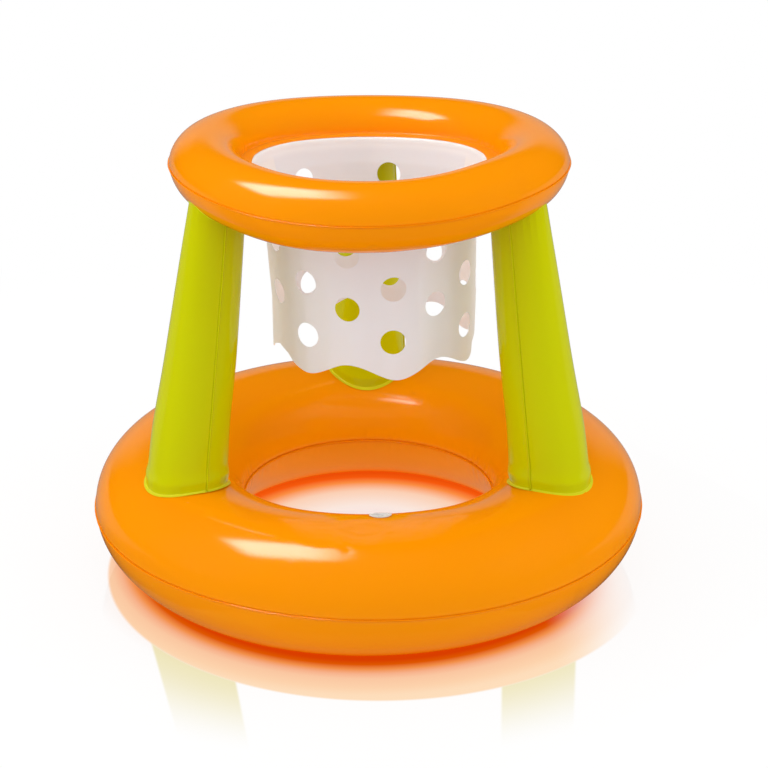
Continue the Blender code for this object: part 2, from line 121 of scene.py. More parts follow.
class Tree:
    """A node tree that is being built."""

    def __init__(self, tree: bpy.types.NodeTree) -> None:
        """Starts on an empty tree.

        Args:
            tree: The shader or geometry tree, which loses any nodes that it has.
        """
        self.tree = tree
        tree.nodes.clear()

    def node(self, kind: str, settings: dict | None = None, sockets: dict | None = None) -> bpy.types.Node:
        """Adds a node.

        Args:
            kind: The node's type.
            settings: Properties, set first. The key "stops" holds a ramp's stops.
            sockets: Values or links of the inputs, by name or number.

        Returns:
            The node.
        """
        node = self.tree.nodes.new(kind)
        for name, setting in (settings or {}).items():
            if name == "stops":
                self._set_stops(node.color_ramp, setting)
            else:
                setattr(node, name, setting)
        for name, value in (sockets or {}).items():
            if isinstance(value, Value):
                value = value.socket
            if isinstance(value, bpy.types.NodeSocket):
                self.tree.links.new(value, node.inputs[name])
            else:
                node.inputs[name].default_value = value
        return node

    @staticmethod
    def _set_stops(ramp: bpy.types.ColorRamp, stops: list[tuple[float, tuple]]) -> None:
        """Gives a colour ramp its stops, each a position and a colour."""
        while len(ramp.elements) < len(stops):
            ramp.elements.new(1.0)
        for element, (position, colour) in zip(ramp.elements, stops):
            element.position = position
            element.color = colour

    def math(self, operation: str, *values: Value | float) -> Value:
        """Adds a Math node and returns its result."""
        node = self.node("ShaderNodeMath", {"operation": operation}, dict(enumerate(values)))
        return Value(self, node.outputs[0])

    def vector(self, x: Value | float, y: Value | float, z: Value | float) -> bpy.types.NodeSocket:
        """Joins three numbers into a vector."""
        return self.node("ShaderNodeCombineXYZ", None, {0: x, 1: y, 2: z}).outputs[0]

    def ramp(self, value: Value, low: float, high: float) -> Value:
        """Rises smoothly from 0 to 1 between two levels."""
        sockets = {0: value, 1: low, 2: high, 3: 0.0, 4: 1.0}
        settings = {"interpolation_type": "SMOOTHSTEP"}
        return Value(self, self.node("ShaderNodeMapRange", settings, sockets).outputs[0])

    def parts(self, vector: bpy.types.NodeSocket) -> list[Value]:
        """The three numbers of a vector."""
        node = self.node("ShaderNodeSeparateXYZ", None, {0: vector})
        return [Value(self, socket) for socket in node.outputs]

    def rays(self, *kinds: str) -> list[Value]:
        """1 for rays of each kind that is named, 0 for others."""
        path = self.node("ShaderNodeLightPath")
        return [Value(self, path.outputs[f"Is {kind} Ray"]) for kind in kinds]

    def noise(self, place: bpy.types.NodeSocket, scale: float, detail: float) -> Value:
        """Noise from 0 to 1 at a place."""
        sockets = {"Vector": place, "Scale": scale, "Detail": detail}
        return Value(self, self.node("ShaderNodeTexNoise", None, sockets).outputs["Fac"])


class FinishTree(Tree):
    """The shader tree of a material."""

    def __init__(self, name: str) -> None:
        """Starts a material's tree.

        Args:
            name: The material's name.
        """
        self.material = bpy.data.materials.new(name)
        self.material.use_nodes = True
        super().__init__(self.material.node_tree)

    def place(self) -> bpy.types.NodeSocket:
        """Object coordinates."""
        return self.node("ShaderNodeTexCoord").outputs["Object"]

    def attribute(self, name: str) -> Value:
        """A number that the mesh carries at each vertex."""
        return Value(self, self.node("ShaderNodeAttribute", {"attribute_name": name}).outputs["Fac"])

    def blend(self, share: Value, first: object, second: object) -> bpy.types.NodeSocket:
        """Mixes two colours, which are sockets or colours."""
        settings = {"data_type": "RGBA", "clamp_factor": True}
        return self.node("ShaderNodeMix", settings, {0: share, 6: first, 7: second}).outputs[2]

    def bump(self, height: Value, distance: float, strength: float) -> bpy.types.NodeSocket:
        """A normal from a height."""
        sockets = {"Height": height, "Distance": distance, "Strength": strength}
        return self.node("ShaderNodeBump", None, sockets).outputs["Normal"]

    def glow(self, colour: object, strength: Value | float = 1.0) -> bpy.types.Node:
        """A shader that gives light of a colour, which is a socket or a colour."""
        return self.node("ShaderNodeEmission", None, {"Color": colour, "Strength": strength})

    def mix(self, share: Value, first: bpy.types.Node, second: bpy.types.Node) -> bpy.types.Node:
        """Mixes two shaders."""
        sockets = {0: share, 1: first.outputs[0], 2: second.outputs[0]}
        return self.node("ShaderNodeMixShader", None, sockets)

    def output(self, shader: bpy.types.Node) -> bpy.types.Material:
        """Ends the material with a shader."""
        self.node("ShaderNodeOutputMaterial", None, {"Surface": shader.outputs[0]})
        return self.material


# Finishes


@dataclass(frozen=True)
class InflatedFilm:
    """Glossy coloured vinyl film that lets a little light through."""

    name: str
    colour: tuple[float, float, float]
    # Paler colour of the welds: partly the pressed film's own tone, partly a painted highlight.
    weld_colour: tuple[float, float, float]
    roughness: float = 0.10
    weld_roughness: float = 0.20
    mottle_share: float = 0.05
    gloss: float = 0.25
    glow_share: float = 0.10
    glow_reach: tuple[float, float, float] = (0.0008, 0.0004, 0.0001)
    ripple: float = 0.00010

    def build(self) -> bpy.types.Material:
        """Makes the material.

        Returns:
            The material, which reads the vertex number "weld", 1 on a weld and 0 on plain film.
        """
        tree = FinishTree(self.name)
        place = tree.place()
        mottle = tree.noise(place, 7.0, 2.0)
        weld = tree.attribute("weld")
        deeper = tuple(c * (1 - self.mottle_share) for c in self.colour) + (1.0,)
        film = tree.blend(mottle, (*self.colour, 1.0), deeper)
        # Welds are painted paler: partly the pressed film's own tone, partly a painted highlight along them.
        colour = tree.blend(weld, film, (*self.weld_colour, 1.0))
        roughness = tree.noise(place, 40.0, 1.0) * 0.03 + self.roughness + weld * self.weld_roughness
        ripple = tree.noise(place, 24.0, 1.0)
        press = tree.noise(place, 900.0, 0.0) * weld
        normal = tree.bump(ripple + press * 0.4, self.ripple, 0.5)
        sockets = {
            "Base Color": colour,
            "Roughness": roughness,
            "IOR": 1.5,
            "Specular IOR Level": self.gloss,
            "Subsurface Weight": self.glow_share,
            "Subsurface Radius": self.glow_reach,
            "Subsurface Scale": 1.0,
            "Normal": normal,
        }
        return tree.output(tree.node("ShaderNodeBsdfPrincipled", None, sockets))


@dataclass(frozen=True)
class FrostedSheet:
    """Frosted white vinyl sheet of the net."""

    name: str = "frosted_net_sheet"
    colour: tuple[float, float, float] = (0.83, 0.83, 0.86)
    # Colour of the painted warm bounce light on the net's sides.
    warm_colour: tuple[float, float, float] = (0.97, 0.92, 0.85)
    # Colour of the painted light on the net's bent top.
    fold_colour: tuple[float, float, float] = (0.95, 0.95, 0.95)

    def build(self) -> bpy.types.Material:
        """Makes the material.

        Returns:
            The material, which reads two vertex numbers: one for the painted light that makes the bent top
            paler, and one for the painted warm bounce light that makes the sides lighter and cream.
        """
        tree = FinishTree(self.name)
        place = tree.place()
        fold = tree.attribute("fold")
        warm = tree.attribute("warm")
        cloud = tree.noise(place, 16.0, 2.0)
        # Painted light: the sides are painted lighter and cream, for orange light bounced from the film.
        bounce_painted = tree.blend(warm * (0.6 + 0.5 * cloud), (*self.colour, 1.0), (*self.warm_colour, 1.0))
        # Painted light: the bent top and the hem are painted paler than the rest of the sheet.
        colour = tree.blend(fold, bounce_painted, (*self.fold_colour, 1.0))
        grain = tree.noise(place, 1400.0, 2.0)
        drape = tree.noise(place, 30.0, 1.0)
        sockets = {
            "Base Color": colour,
            "Roughness": 0.42 + grain * 0.12,
            "IOR": 1.46,
            "Subsurface Weight": 0.42,
            "Subsurface Radius": (0.0015, 0.0014, 0.0013),
            "Subsurface Scale": 1.0,
            "Alpha": 0.97 - 0.04 * cloud,
            "Normal": tree.bump(drape + grain * 0.05, 0.0006, 0.4),
        }
        return tree.output(tree.node("ShaderNodeBsdfPrincipled", None, sockets))


@dataclass(frozen=True)
class ClearMoulding:
    """Clear soft vinyl of the air valves, a little cloudy."""

    name: str = "clear_valve_vinyl"
    colour: tuple[float, float, float] = (0.96, 0.96, 0.95)

    def build(self) -> bpy.types.Material:
        """Makes the material."""
        tree = FinishTree(self.name)
        place = tree.place()
        cloud = tree.noise(place, 220.0, 2.0)
        sockets = {
            "Base Color": tree.blend(cloud, (*self.colour, 1.0), (0.90, 0.89, 0.87, 1.0)),
            "Roughness": 0.10 + cloud * 0.12,
            "IOR": 1.46,
            "Transmission Weight": 0.15,
            "Subsurface Weight": 0.3,
            "Subsurface Radius": (0.004, 0.004, 0.004),
            "Subsurface Scale": 1.0,
            "Normal": tree.bump(tree.noise(place, 500.0, 1.0), 0.0001, 0.3),
        }
        return tree.output(tree.node("ShaderNodeBsdfPrincipled", None, sockets))


# Meshes


def new_piece(
    name: str, mesh: bpy.types.Mesh, material: bpy.types.Material | None = None
) -> bpy.types.Object:
    """Puts a mesh in the scene.

    Args:
        name: The piece's name.
        mesh: Its mesh, in the frame's coordinates.
        material: Its finish, where the mesh has none yet.

    Returns:
        The piece.
    """
    piece = bpy.data.objects.new(name, mesh)
    bpy.context.scene.collection.objects.link(piece)
    if material is not None:
        mesh.materials.clear()
        mesh.materials.append(material)
    return piece


def grid_mesh(name: str, points: np.ndarray, closed: bool, numbers: dict[str, np.ndarray]) -> bpy.types.Mesh:
    """A smooth surface through a grid of points.

    Args:
        name: The mesh's name.
        points: Rows and columns of places.
        closed: Whether the last column joins the first.
        numbers: Vertex numbers for the finish, by name, each a grid like the points.

    Returns:
        The mesh.
    """
    rows, columns = points.shape[:2]
    index = np.arange(rows * columns).reshape(rows, columns)
    following = np.roll(index, -1, axis=1)
    last = columns if closed else columns - 1
    near, after = index[:-1, :last], following[:-1, :last]
    far, beyond = index[1:, :last], following[1:, :last]
    faces = np.stack([near, after, beyond, far], axis=-1).reshape(-1, 4)
    mesh = bpy.data.meshes.new(name)
    mesh.from_pydata(points.reshape(-1, 3).tolist(), [], faces.tolist())
    for label, values in numbers.items():
        layer = mesh.attributes.new(label, "FLOAT", "POINT")
        grid = np.broadcast_to(values, (rows, columns))
        layer.data.foreach_set("value", grid.astype(np.float32).ravel())
    mesh.shade_smooth()
    return mesh


def lathe_mesh(name: str, profile: list[tuple[float, float]], steps: int, closed: bool) -> bpy.types.Mesh:
    """A turned shape round the Z axis.

    Args:
        name: The mesh's name.
        profile: Radius and height of each point of the outline.
        steps: How many stretches the turn has.
        closed: Whether the outline's last point joins its first. An open outline starts and
            ends on the axis.

    Returns:
        The mesh.
    """
    shape = bmesh.new()
    corners = [shape.verts.new((out, 0, height)) for out, height in profile]
    edges = [shape.edges.new(pair) for pair in zip(corners, corners[1:])]
    if closed:
        edges.append(shape.edges.new((corners[-1], corners[0])))
    bmesh.ops.spin(shape, geom=corners + edges, axis=(0, 0, 1), angle=TURN, steps=steps, use_merge=True)
    bmesh.ops.remove_doubles(shape, verts=shape.verts, dist=0.000005)
    bmesh.ops.recalc_face_normals(shape, faces=shape.faces)
    mesh = bpy.data.meshes.new(name)
    shape.to_mesh(mesh)
    shape.free()
    mesh.shade_smooth()
    mesh.set_sharp_from_angle(angle=math.radians(38))
    return mesh


def loft_mesh(name: str, loops: list[tuple[tuple[float, float, float], ...]]) -> bpy.types.Mesh:
    """A closed shape through loops of corners.

    Args:
        name: The mesh's name.
        loops: The loops, each with as many corners as the others.

    Returns:
        The mesh.
    """
    shape = bmesh.new()
    rings = [[shape.verts.new(corner) for corner in loop] for loop in loops]
    for near, far in zip(rings, rings[1:]):
        for i in range(len(near)):
            after = (i + 1) % len(near)
            shape.faces.new((near[i], near[after], far[after], far[i]))
    shape.faces.new(rings[0])
    shape.faces.new(rings[-1])
    bmesh.ops.recalc_face_normals(shape, faces=shape.faces)
    mesh = bpy.data.meshes.new(name)
    shape.to_mesh(mesh)
    shape.free()
    return mesh


def settled(piece: bpy.types.Object) -> bpy.types.Object:
    """Turns a piece's modifiers into its plain mesh.

    Args:
        piece: The piece, at the origin.

    Returns:
        The same piece, with no modifier left.
    """
    evaluated = piece.evaluated_get(bpy.context.evaluated_depsgraph_get())
    mesh = bpy.data.meshes.new_from_object(evaluated)
    mesh.name = piece.name
    old = piece.data
    piece.modifiers.clear()
    piece.data = mesh
    bpy.data.meshes.remove(old)
    return piece


def give_wall(piece: bpy.types.Object, thickness: float) -> None:
    """Gives a surface its wall, on the side that it faces away from."""
    wall = piece.modifiers.new("wall", "SOLIDIFY")
    wall.thickness = thickness
    wall.offset = -1


def drill(piece: bpy.types.Object, cutter: bpy.types.Object) -> None:
    """Adds a cut to a piece, made when the piece is settled."""
    cut = piece.modifiers.new("cut", "BOOLEAN")
    cut.operation = "DIFFERENCE"
    cut.solver = "MANIFOLD"
    cut.object = cutter


def discard(*pieces: bpy.types.Object) -> None:
    """Removes helpers that no piece needs any more."""
    for piece in pieces:
        bpy.data.objects.remove(piece)


def hand_over(piece: bpy.types.Object, body: str, slot: Slot, *nodes: str) -> bpy.types.Object:
    """Fixes a finished piece to the frame.

    Args:
        piece: The piece, at the origin.
        body: The CAD body that it rides on.
        slot: The record's material slot; not used.
        *nodes: The CAD nodes that it stands for.

    Returns:
        The piece.
    """
    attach(piece, body)
    if nodes:
        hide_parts(*nodes)
    LOG.info("%s rides on %s, %d faces", piece.name, body, len(piece.data.polygons))
    return piece


# Geometry trees


class ShapeTree(Tree):
    """A geometry tree with named inputs."""

    def __init__(self, name: str, inputs: dict[str, str]) -> None:
        """Starts a geometry tree.

        Args:
            name: The tree's name.
            inputs: Socket types of the inputs, by name.
        """
        super().__init__(bpy.data.node_groups.new(name, "GeometryNodeTree"))
        face = self.tree.interface
        face.new_socket("Geometry", in_out="INPUT", socket_type="NodeSocketGeometry")
        for label, kind in inputs.items():
            face.new_socket(label, in_out="INPUT", socket_type=kind)
        face.new_socket("Geometry", in_out="OUTPUT", socket_type="NodeSocketGeometry")
        self.start = self.node("NodeGroupInput")

    def given(self, name: str) -> Value:
        """A named input of the tree."""
        return Value(self, self.start.outputs[name])

    def end(self, geometry: bpy.types.NodeSocket) -> None:
        """Realizes what is left as instances, sets the material and ends the tree."""
        real = self.node("GeometryNodeRealizeInstances", None, {"Geometry": geometry})
        sockets = {"Geometry": real.outputs[0], "Material": self.given("Material")}
        dressed = self.node("GeometryNodeSetMaterial", None, sockets)
        self.node("NodeGroupOutput", None, {0: dressed.outputs[0]})

    def grow(self, name: str, mesh: bpy.types.Mesh, **values: object) -> bpy.types.Object:
        """Makes a piece by running the tree on a mesh.

        Args:
            name: The piece's name.
            mesh: What the tree starts from.
            **values: The tree's inputs, with _ for each space of a name.

        Returns:
            The piece as a plain mesh.
        """
        piece = new_piece(name, mesh)
        modifier = piece.modifiers.new("shape", "NODES")
        modifier.node_group = self.tree
        for item in self.tree.interface.items_tree:
            if item.in_out == "INPUT" and item.name != "Geometry":
                modifier[item.identifier] = values[item.name.replace(" ", "_").lower()]
        return settled(piece)


class WeldSweep(ShapeTree):
    """Sweeps a flat oval bead along a path, for the pressed edge of a weld."""

    def __init__(self) -> None:
        """Builds the tree. The path's points carry the vector "wide", the bead's wide direction."""
        number = "NodeSocketFloat"
        inputs = {"Width": number, "Height": number, "Waviness": number, "Material": "NodeSocketMaterial"}
        super().__init__("weld_sweep", inputs)
        line = self.node("GeometryNodeMeshToCurve", None, {0: self.start.outputs["Geometry"]})
        wide = self.node("GeometryNodeInputNamedAttribute", {"data_type": "FLOAT_VECTOR"}, {"Name": "wide"})
        sockets = {"Curve": line.outputs[0], "Normal": wide.outputs[0]}
        aimed = self.node("GeometryNodeSetCurveNormal", {"mode": "FREE"}, sockets)
        place = self.node("GeometryNodeInputPosition").outputs[0]
        stir = self.node("ShaderNodeTexNoise", None, {"Vector": place, "Scale": 55.0, "Detail": 1.0})
        centred = self.node("ShaderNodeVectorMath", {"operation": "SUBTRACT"}, {0: stir.outputs["Color"]})
        centred.inputs[1].default_value = (0.5, 0.5, 0.5)
        sockets = {0: centred.outputs[0], "Scale": self.given("Waviness")}
        shift = self.node("ShaderNodeVectorMath", {"operation": "SCALE"}, sockets)
        sockets = {"Geometry": aimed.outputs[0], "Offset": shift.outputs[0]}
        waved = self.node("GeometryNodeSetPosition", None, sockets)
        ring = self.node("GeometryNodeCurvePrimitiveCircle", None, {"Resolution": 10, "Radius": 0.5})
        scale = self.vector(self.given("Width"), self.given("Height"), 1.0)
        oval = self.node("GeometryNodeTransform", None, {"Geometry": ring.outputs[0], "Scale": scale})
        sockets = {"Curve": waved.outputs[0], "Profile Curve": oval.outputs[0], "Fill Caps": True}
        swept = self.node("GeometryNodeCurveToMesh", None, sockets)
        smooth = self.node("GeometryNodeSetShadeSmooth", None, {"Geometry": swept.outputs[0]})
        self.end(smooth.outputs[0])


class NetPunch(ShapeTree):
    """Punches the net's staggered columns of round holes."""

    def __init__(self) -> None:
        """Builds the tree, which starts from the net's solid sheet."""
        number, whole = "NodeSocketFloat", "NodeSocketInt"
        inputs = {
            "Columns": whole,
            "Rows": whole,
            "Even Gaps": whole,
            "First Column": number,
            "Pitch": number,
            "Lowest": number,
            "Spacing": number,
            "Stagger": number,
            "Ceiling": number,
            "Wall Radius": number,
            "Sway": number,
            "Hole Radius": number,
            "Depth": number,
            "Material": "NodeSocketMaterial",
        }
        super().__init__("net_punch", inputs)
        columns, rows = self.given("Columns"), self.given("Rows")
        index = Value(self, self.node("GeometryNodeInputIndex").outputs[0])
        column = index % columns
        row = self.math("FLOOR", index / columns)
        pitch, even_gaps = self.given("Pitch"), self.given("Even Gaps")
        left_over = TURN - even_gaps * pitch
        wide_gaps = self.math("MAXIMUM", column - even_gaps, 0.0)
        wide_part = wide_gaps * left_over / (columns - even_gaps)
        azimuth = self.given("First Column") - (self.math("MINIMUM", column, even_gaps) * pitch + wide_part)
        height = self.given("Lowest") + row * self.given("Spacing") + (column % 2) * self.given("Stagger")
        wall = self.given("Wall Radius")
        cosine, sine = self.math("COSINE", azimuth), self.math("SINE", azimuth)
        place = self.vector(self.given("Sway") + wall * cosine, wall * sine, height)
        spots = self.node("GeometryNodePoints", None, {"Count": columns * rows, "Position": place})
        store = {"data_type": "FLOAT_VECTOR", "domain": "POINT"}
        out = self.vector(cosine, sine, 0.0)
        sockets = {"Geometry": spots.outputs[0], "Name": "out", "Value": out}
        marked = self.node("GeometryNodeStoreNamedAttribute", store, sockets)
        too_high = self.math("GREATER_THAN", height, self.given("Ceiling"))
        sockets = {"Geometry": marked.outputs[0], "Selection": too_high}
        kept = self.node("GeometryNodeDeleteGeometry", {"domain": "POINT"}, sockets)
        sockets = {"Vertices": 48, "Radius": self.given("Hole Radius"), "Depth": self.given("Depth")}
        punch = self.node("GeometryNodeMeshCylinder", None, sockets)
        seen = self.node("GeometryNodeInputNamedAttribute", {"data_type": "FLOAT_VECTOR"}, {"Name": "out"})
        turned = self.node("FunctionNodeAlignRotationToVector", {"axis": "Z"}, {"Vector": seen.outputs[0]})
        sockets = {"Points": kept.outputs[0], "Instance": punch.outputs[0], "Rotation": turned.outputs[0]}
        placed = self.node("GeometryNodeInstanceOnPoints", None, sockets)
        real = self.node("GeometryNodeRealizeInstances", None, {"Geometry": placed.outputs[0]})
        settings = {"operation": "DIFFERENCE", "solver": "MANIFOLD"}
        sockets = {"Mesh 1": self.start.outputs["Geometry"], "Mesh 2": real.outputs[0]}
        self.end(self.node("GeometryNodeMeshBoolean", settings, sockets).outputs["Mesh"])


class FlangeKnurl(ShapeTree):
    """Sets small pressed ribs round a valve's flange, on the points of a ring."""

    def __init__(self) -> None:
        """Builds the tree. The points carry "along", each rib's long direction, and "up"."""
        number = "NodeSocketFloat"
        inputs = {"Length": number, "Width": number, "Height": number, "Material": "NodeSocketMaterial"}
        super().__init__("flange_knurl", inputs)
        sphere = self.node("GeometryNodeMeshUVSphere", None, {"Segments": 8, "Rings": 4, "Radius": 0.5})
        scale = self.vector(self.given("Length"), self.given("Width"), self.given("Height"))
        rib = self.node("GeometryNodeTransform", None, {"Geometry": sphere.outputs[0], "Scale": scale})
        named = {"data_type": "FLOAT_VECTOR"}
        along = self.node("GeometryNodeInputNamedAttribute", named, {"Name": "along"}).outputs[0]
        up = self.node("GeometryNodeInputNamedAttribute", named, {"Name": "up"}).outputs[0]
        settings = {"primary_axis": "X", "secondary_axis": "Z"}
        sockets = {"Primary Axis": along, "Secondary Axis": up}
        turned = self.node("FunctionNodeAxesToRotation", settings, sockets)
        sockets = {
            "Points": self.start.outputs["Geometry"],
            "Instance": rib.outputs[0],
            "Rotation": turned.outputs[0],
        }
        placed = self.node("GeometryNodeInstanceOnPoints", None, sockets)
        smooth = self.node("GeometryNodeSetShadeSmooth", None, {"Geometry": placed.outputs[0]})
        self.end(smooth.outputs[0])


def path_mesh(name: str, points: np.ndarray, closed: bool, vectors: dict[str, np.ndarray]) -> bpy.types.Mesh:
    """A line of points for a geometry tree.

    Args:
        name: The mesh's name.
        points: The places along the line.
        closed: Whether the line's ends join.
        vectors: Directions that the points carry, by name.

    Returns:
        The mesh, of edges alone.
    """
    count = len(points)
    edges = [(i, (i + 1) % count) for i in range(count if closed else count - 1)]
    mesh = bpy.data.meshes.new(name)
    mesh.from_pydata(points.tolist(), edges, [])
    for label, values in vectors.items():
        layer = mesh.attributes.new(label, "FLOAT_VECTOR", "POINT")
        layer.data.foreach_set("vector", np.asarray(values, np.float32).ravel())
    return mesh


# Film surfaces


def waver(angle: np.ndarray, counts: range, seed: int) -> np.ndarray:
    """Smooth random waviness that closes over a full turn.

    Args:
        angle: Angles round the turn.
        counts: How many waves each part of the waviness has in a turn.
        seed: Fixes the random draws.

    Returns:
        Values round zero, mostly within 1.
    """
    draws = np.random.default_rng(seed)
    total = np.zeros_like(angle, dtype=float)
    for count in counts:
        total += draws.normal() * np.cos(count * angle + draws.uniform(0, TURN))
    return total / math.sqrt(len(counts))


def hump(distance: np.ndarray, width: float) -> np.ndarray:
    """A smooth hump, 1 in its middle and gone by about twice its width."""
    return np.exp(-((distance / width) ** 2))


def apart(angle: np.ndarray, degrees: float) -> np.ndarray:
    """Distance round the turn between angles and a place, in radians, near the place."""
    return 2 * np.sin((angle - math.radians(degrees)) / 2)


@dataclass(frozen=True)
class Swelling:
    """A soft hump of a ring's film, round a place that is given in degrees."""

    height: float
    azimuth: float
    azimuth_width: float
    angle: float
    angle_width: float

    def at(self, azimuth: np.ndarray, angle: np.ndarray) -> np.ndarray:
        """How far the film stands out, at an azimuth and at an angle round the tube."""
        beside = hump(apart(azimuth, self.azimuth), self.azimuth_width)
        return self.height * beside * hump(apart(angle, self.angle), self.angle_width)


def distance_to_line(points: np.ndarray, line: np.ndarray) -> np.ndarray:
    """Distance from each point to a line of a few straight stretches."""
    best = np.full(points.shape[:-1], 9.0)
    for start, end in zip(line, line[1:]):
        step = end - start
        share = np.clip((points - start) @ step / (step @ step), 0, 1)
        gap = np.linalg.norm(points - start - share[..., None] * step, axis=-1)
        best = np.minimum(best, gap)
    return best


@dataclass(frozen=True)
class Tube:
    """A tube of elliptical section, bent round the hoop's axis."""

    radius: float
    half_width: float
    half_height: float
    height: float
    tip_share: float

    def section(self, angle: np.ndarray) -> tuple[np.ndarray, np.ndarray]:
        """Distance from the axis and height, at an angle round the tube, 0 at its outer weld.

        The tube draws in a little between its welds, so that it is slightly pointed at them.
        """
        cosine = np.cos(angle)
        drawn = 1 - self.tip_share * (1 - cosine**8)
        return self.radius + self.half_width * cosine * drawn, self.height + self.half_height * np.sin(angle)

    def shift(self, azimuth: np.ndarray, angle: np.ndarray) -> tuple[np.ndarray, np.ndarray]:
        """How far the inflated film has moved there, along +X and upwards."""
        still = np.zeros(np.broadcast_shapes(np.shape(azimuth), np.shape(angle)))
        return still, still

    def place(self, azimuth: np.ndarray, angle: np.ndarray) -> np.ndarray:
        """A point of the film."""
        out, height = self.section(angle)
        aside, up = self.shift(azimuth, angle)
        parts = np.broadcast_arrays(out * np.cos(azimuth) + aside, out * np.sin(azimuth), height + up)
        return np.stack(parts, axis=-1)

    def normal(self, azimuth: np.ndarray, angle: np.ndarray) -> np.ndarray:
        """The outward direction at a point of the film."""
        out, up = np.cos(angle) / self.half_width, np.sin(angle) / self.half_height
        size = np.hypot(out, up)
        out, up = out / size, up / size
        parts = np.broadcast_arrays(out * np.cos(azimuth), out * np.sin(azimuth), up)
        return np.stack(parts, axis=-1)

    def level(self, point: np.ndarray) -> np.ndarray:
        """Below zero inside the tube, above zero outside it."""
        across = (np.hypot(point[..., 0], point[..., 1]) - self.radius) / self.half_width
        return across**2 + ((point[..., 2] - self.height) / self.half_height) ** 2 - 1

    def rise(self, offset: np.ndarray, grown: float = 0.0) -> np.ndarray:
        """How far the grown tube's surface lies above its middle, at an offset from the middle."""
        left = np.clip(1 - (offset / (self.half_width + grown)) ** 2, 0.04, None)
        return (self.half_height + grown) * np.sqrt(left)


@dataclass(frozen=True)
class BaseTube(Tube):
    """The base ring's tube, whose outer weld rides up a little at the front."""

    raised_weld: Swelling = Swelling(0.0048, -112, 0.80, 0, 0.45)

    def shift(self, azimuth: np.ndarray, angle: np.ndarray) -> tuple[np.ndarray, np.ndarray]:
        """How far the film has moved there, along +X and upwards."""
        up = self.raised_weld.at(azimuth, angle)
        return 0 * up, up


@dataclass(frozen=True)
class RimTube(Tube):
    """The rim ring's tube, which the legs and the net have drawn into a slight saddle."""

    valve_azimuth: float = 150
    valve_angle: float = -62

    def shift(self, azimuth: np.ndarray, angle: np.ndarray) -> tuple[np.ndarray, np.ndarray]:
        """How far the film has moved there, along +X and upwards."""
        free = 1 - hump(apart(azimuth, self.valve_azimuth), 0.25) * hump(apart(angle, self.valve_angle), 1.2)
        up = 0.0019 + 0.0041 * np.cos(2 * azimuth)
        up = up + 0.0028 * hump(apart(azimuth, -42), 0.40) - 0.0018 * hump(apart(azimuth, -117), 0.32)
        up = up + 0.0026 * np.cos(azimuth) ** 2 * hump(apart(angle, 0), 0.60)
        return 0.0022 * free, up * free


@dataclass(frozen=True)
class Film:
    """Sizes that all the film panels share."""

    thickness: float = 0.0003
    seam_lift: float = 0.0002
    fin: float = 0.0020
    bead_height: float = 0.0009
    bead_set_in: float = 0.0006
    outer_bead_width: float = 0.0026
    inner_bead_width: float = 0.0032
    waviness: float = 0.0006
    side_bead_width: float = 0.0030
    side_bead_height: float = 0.0019
    side_bead_lift: float = 0.0003
    side_waviness: float = 0.0004


FILM = Film()
BASE_TUBE = BaseTube(0.2439, 0.0900, 0.0764, 0.075827, 0.012)
RIM_TUBE = RimTube(0.1904, 0.0398, 0.0373, 0.4916, 0.030)


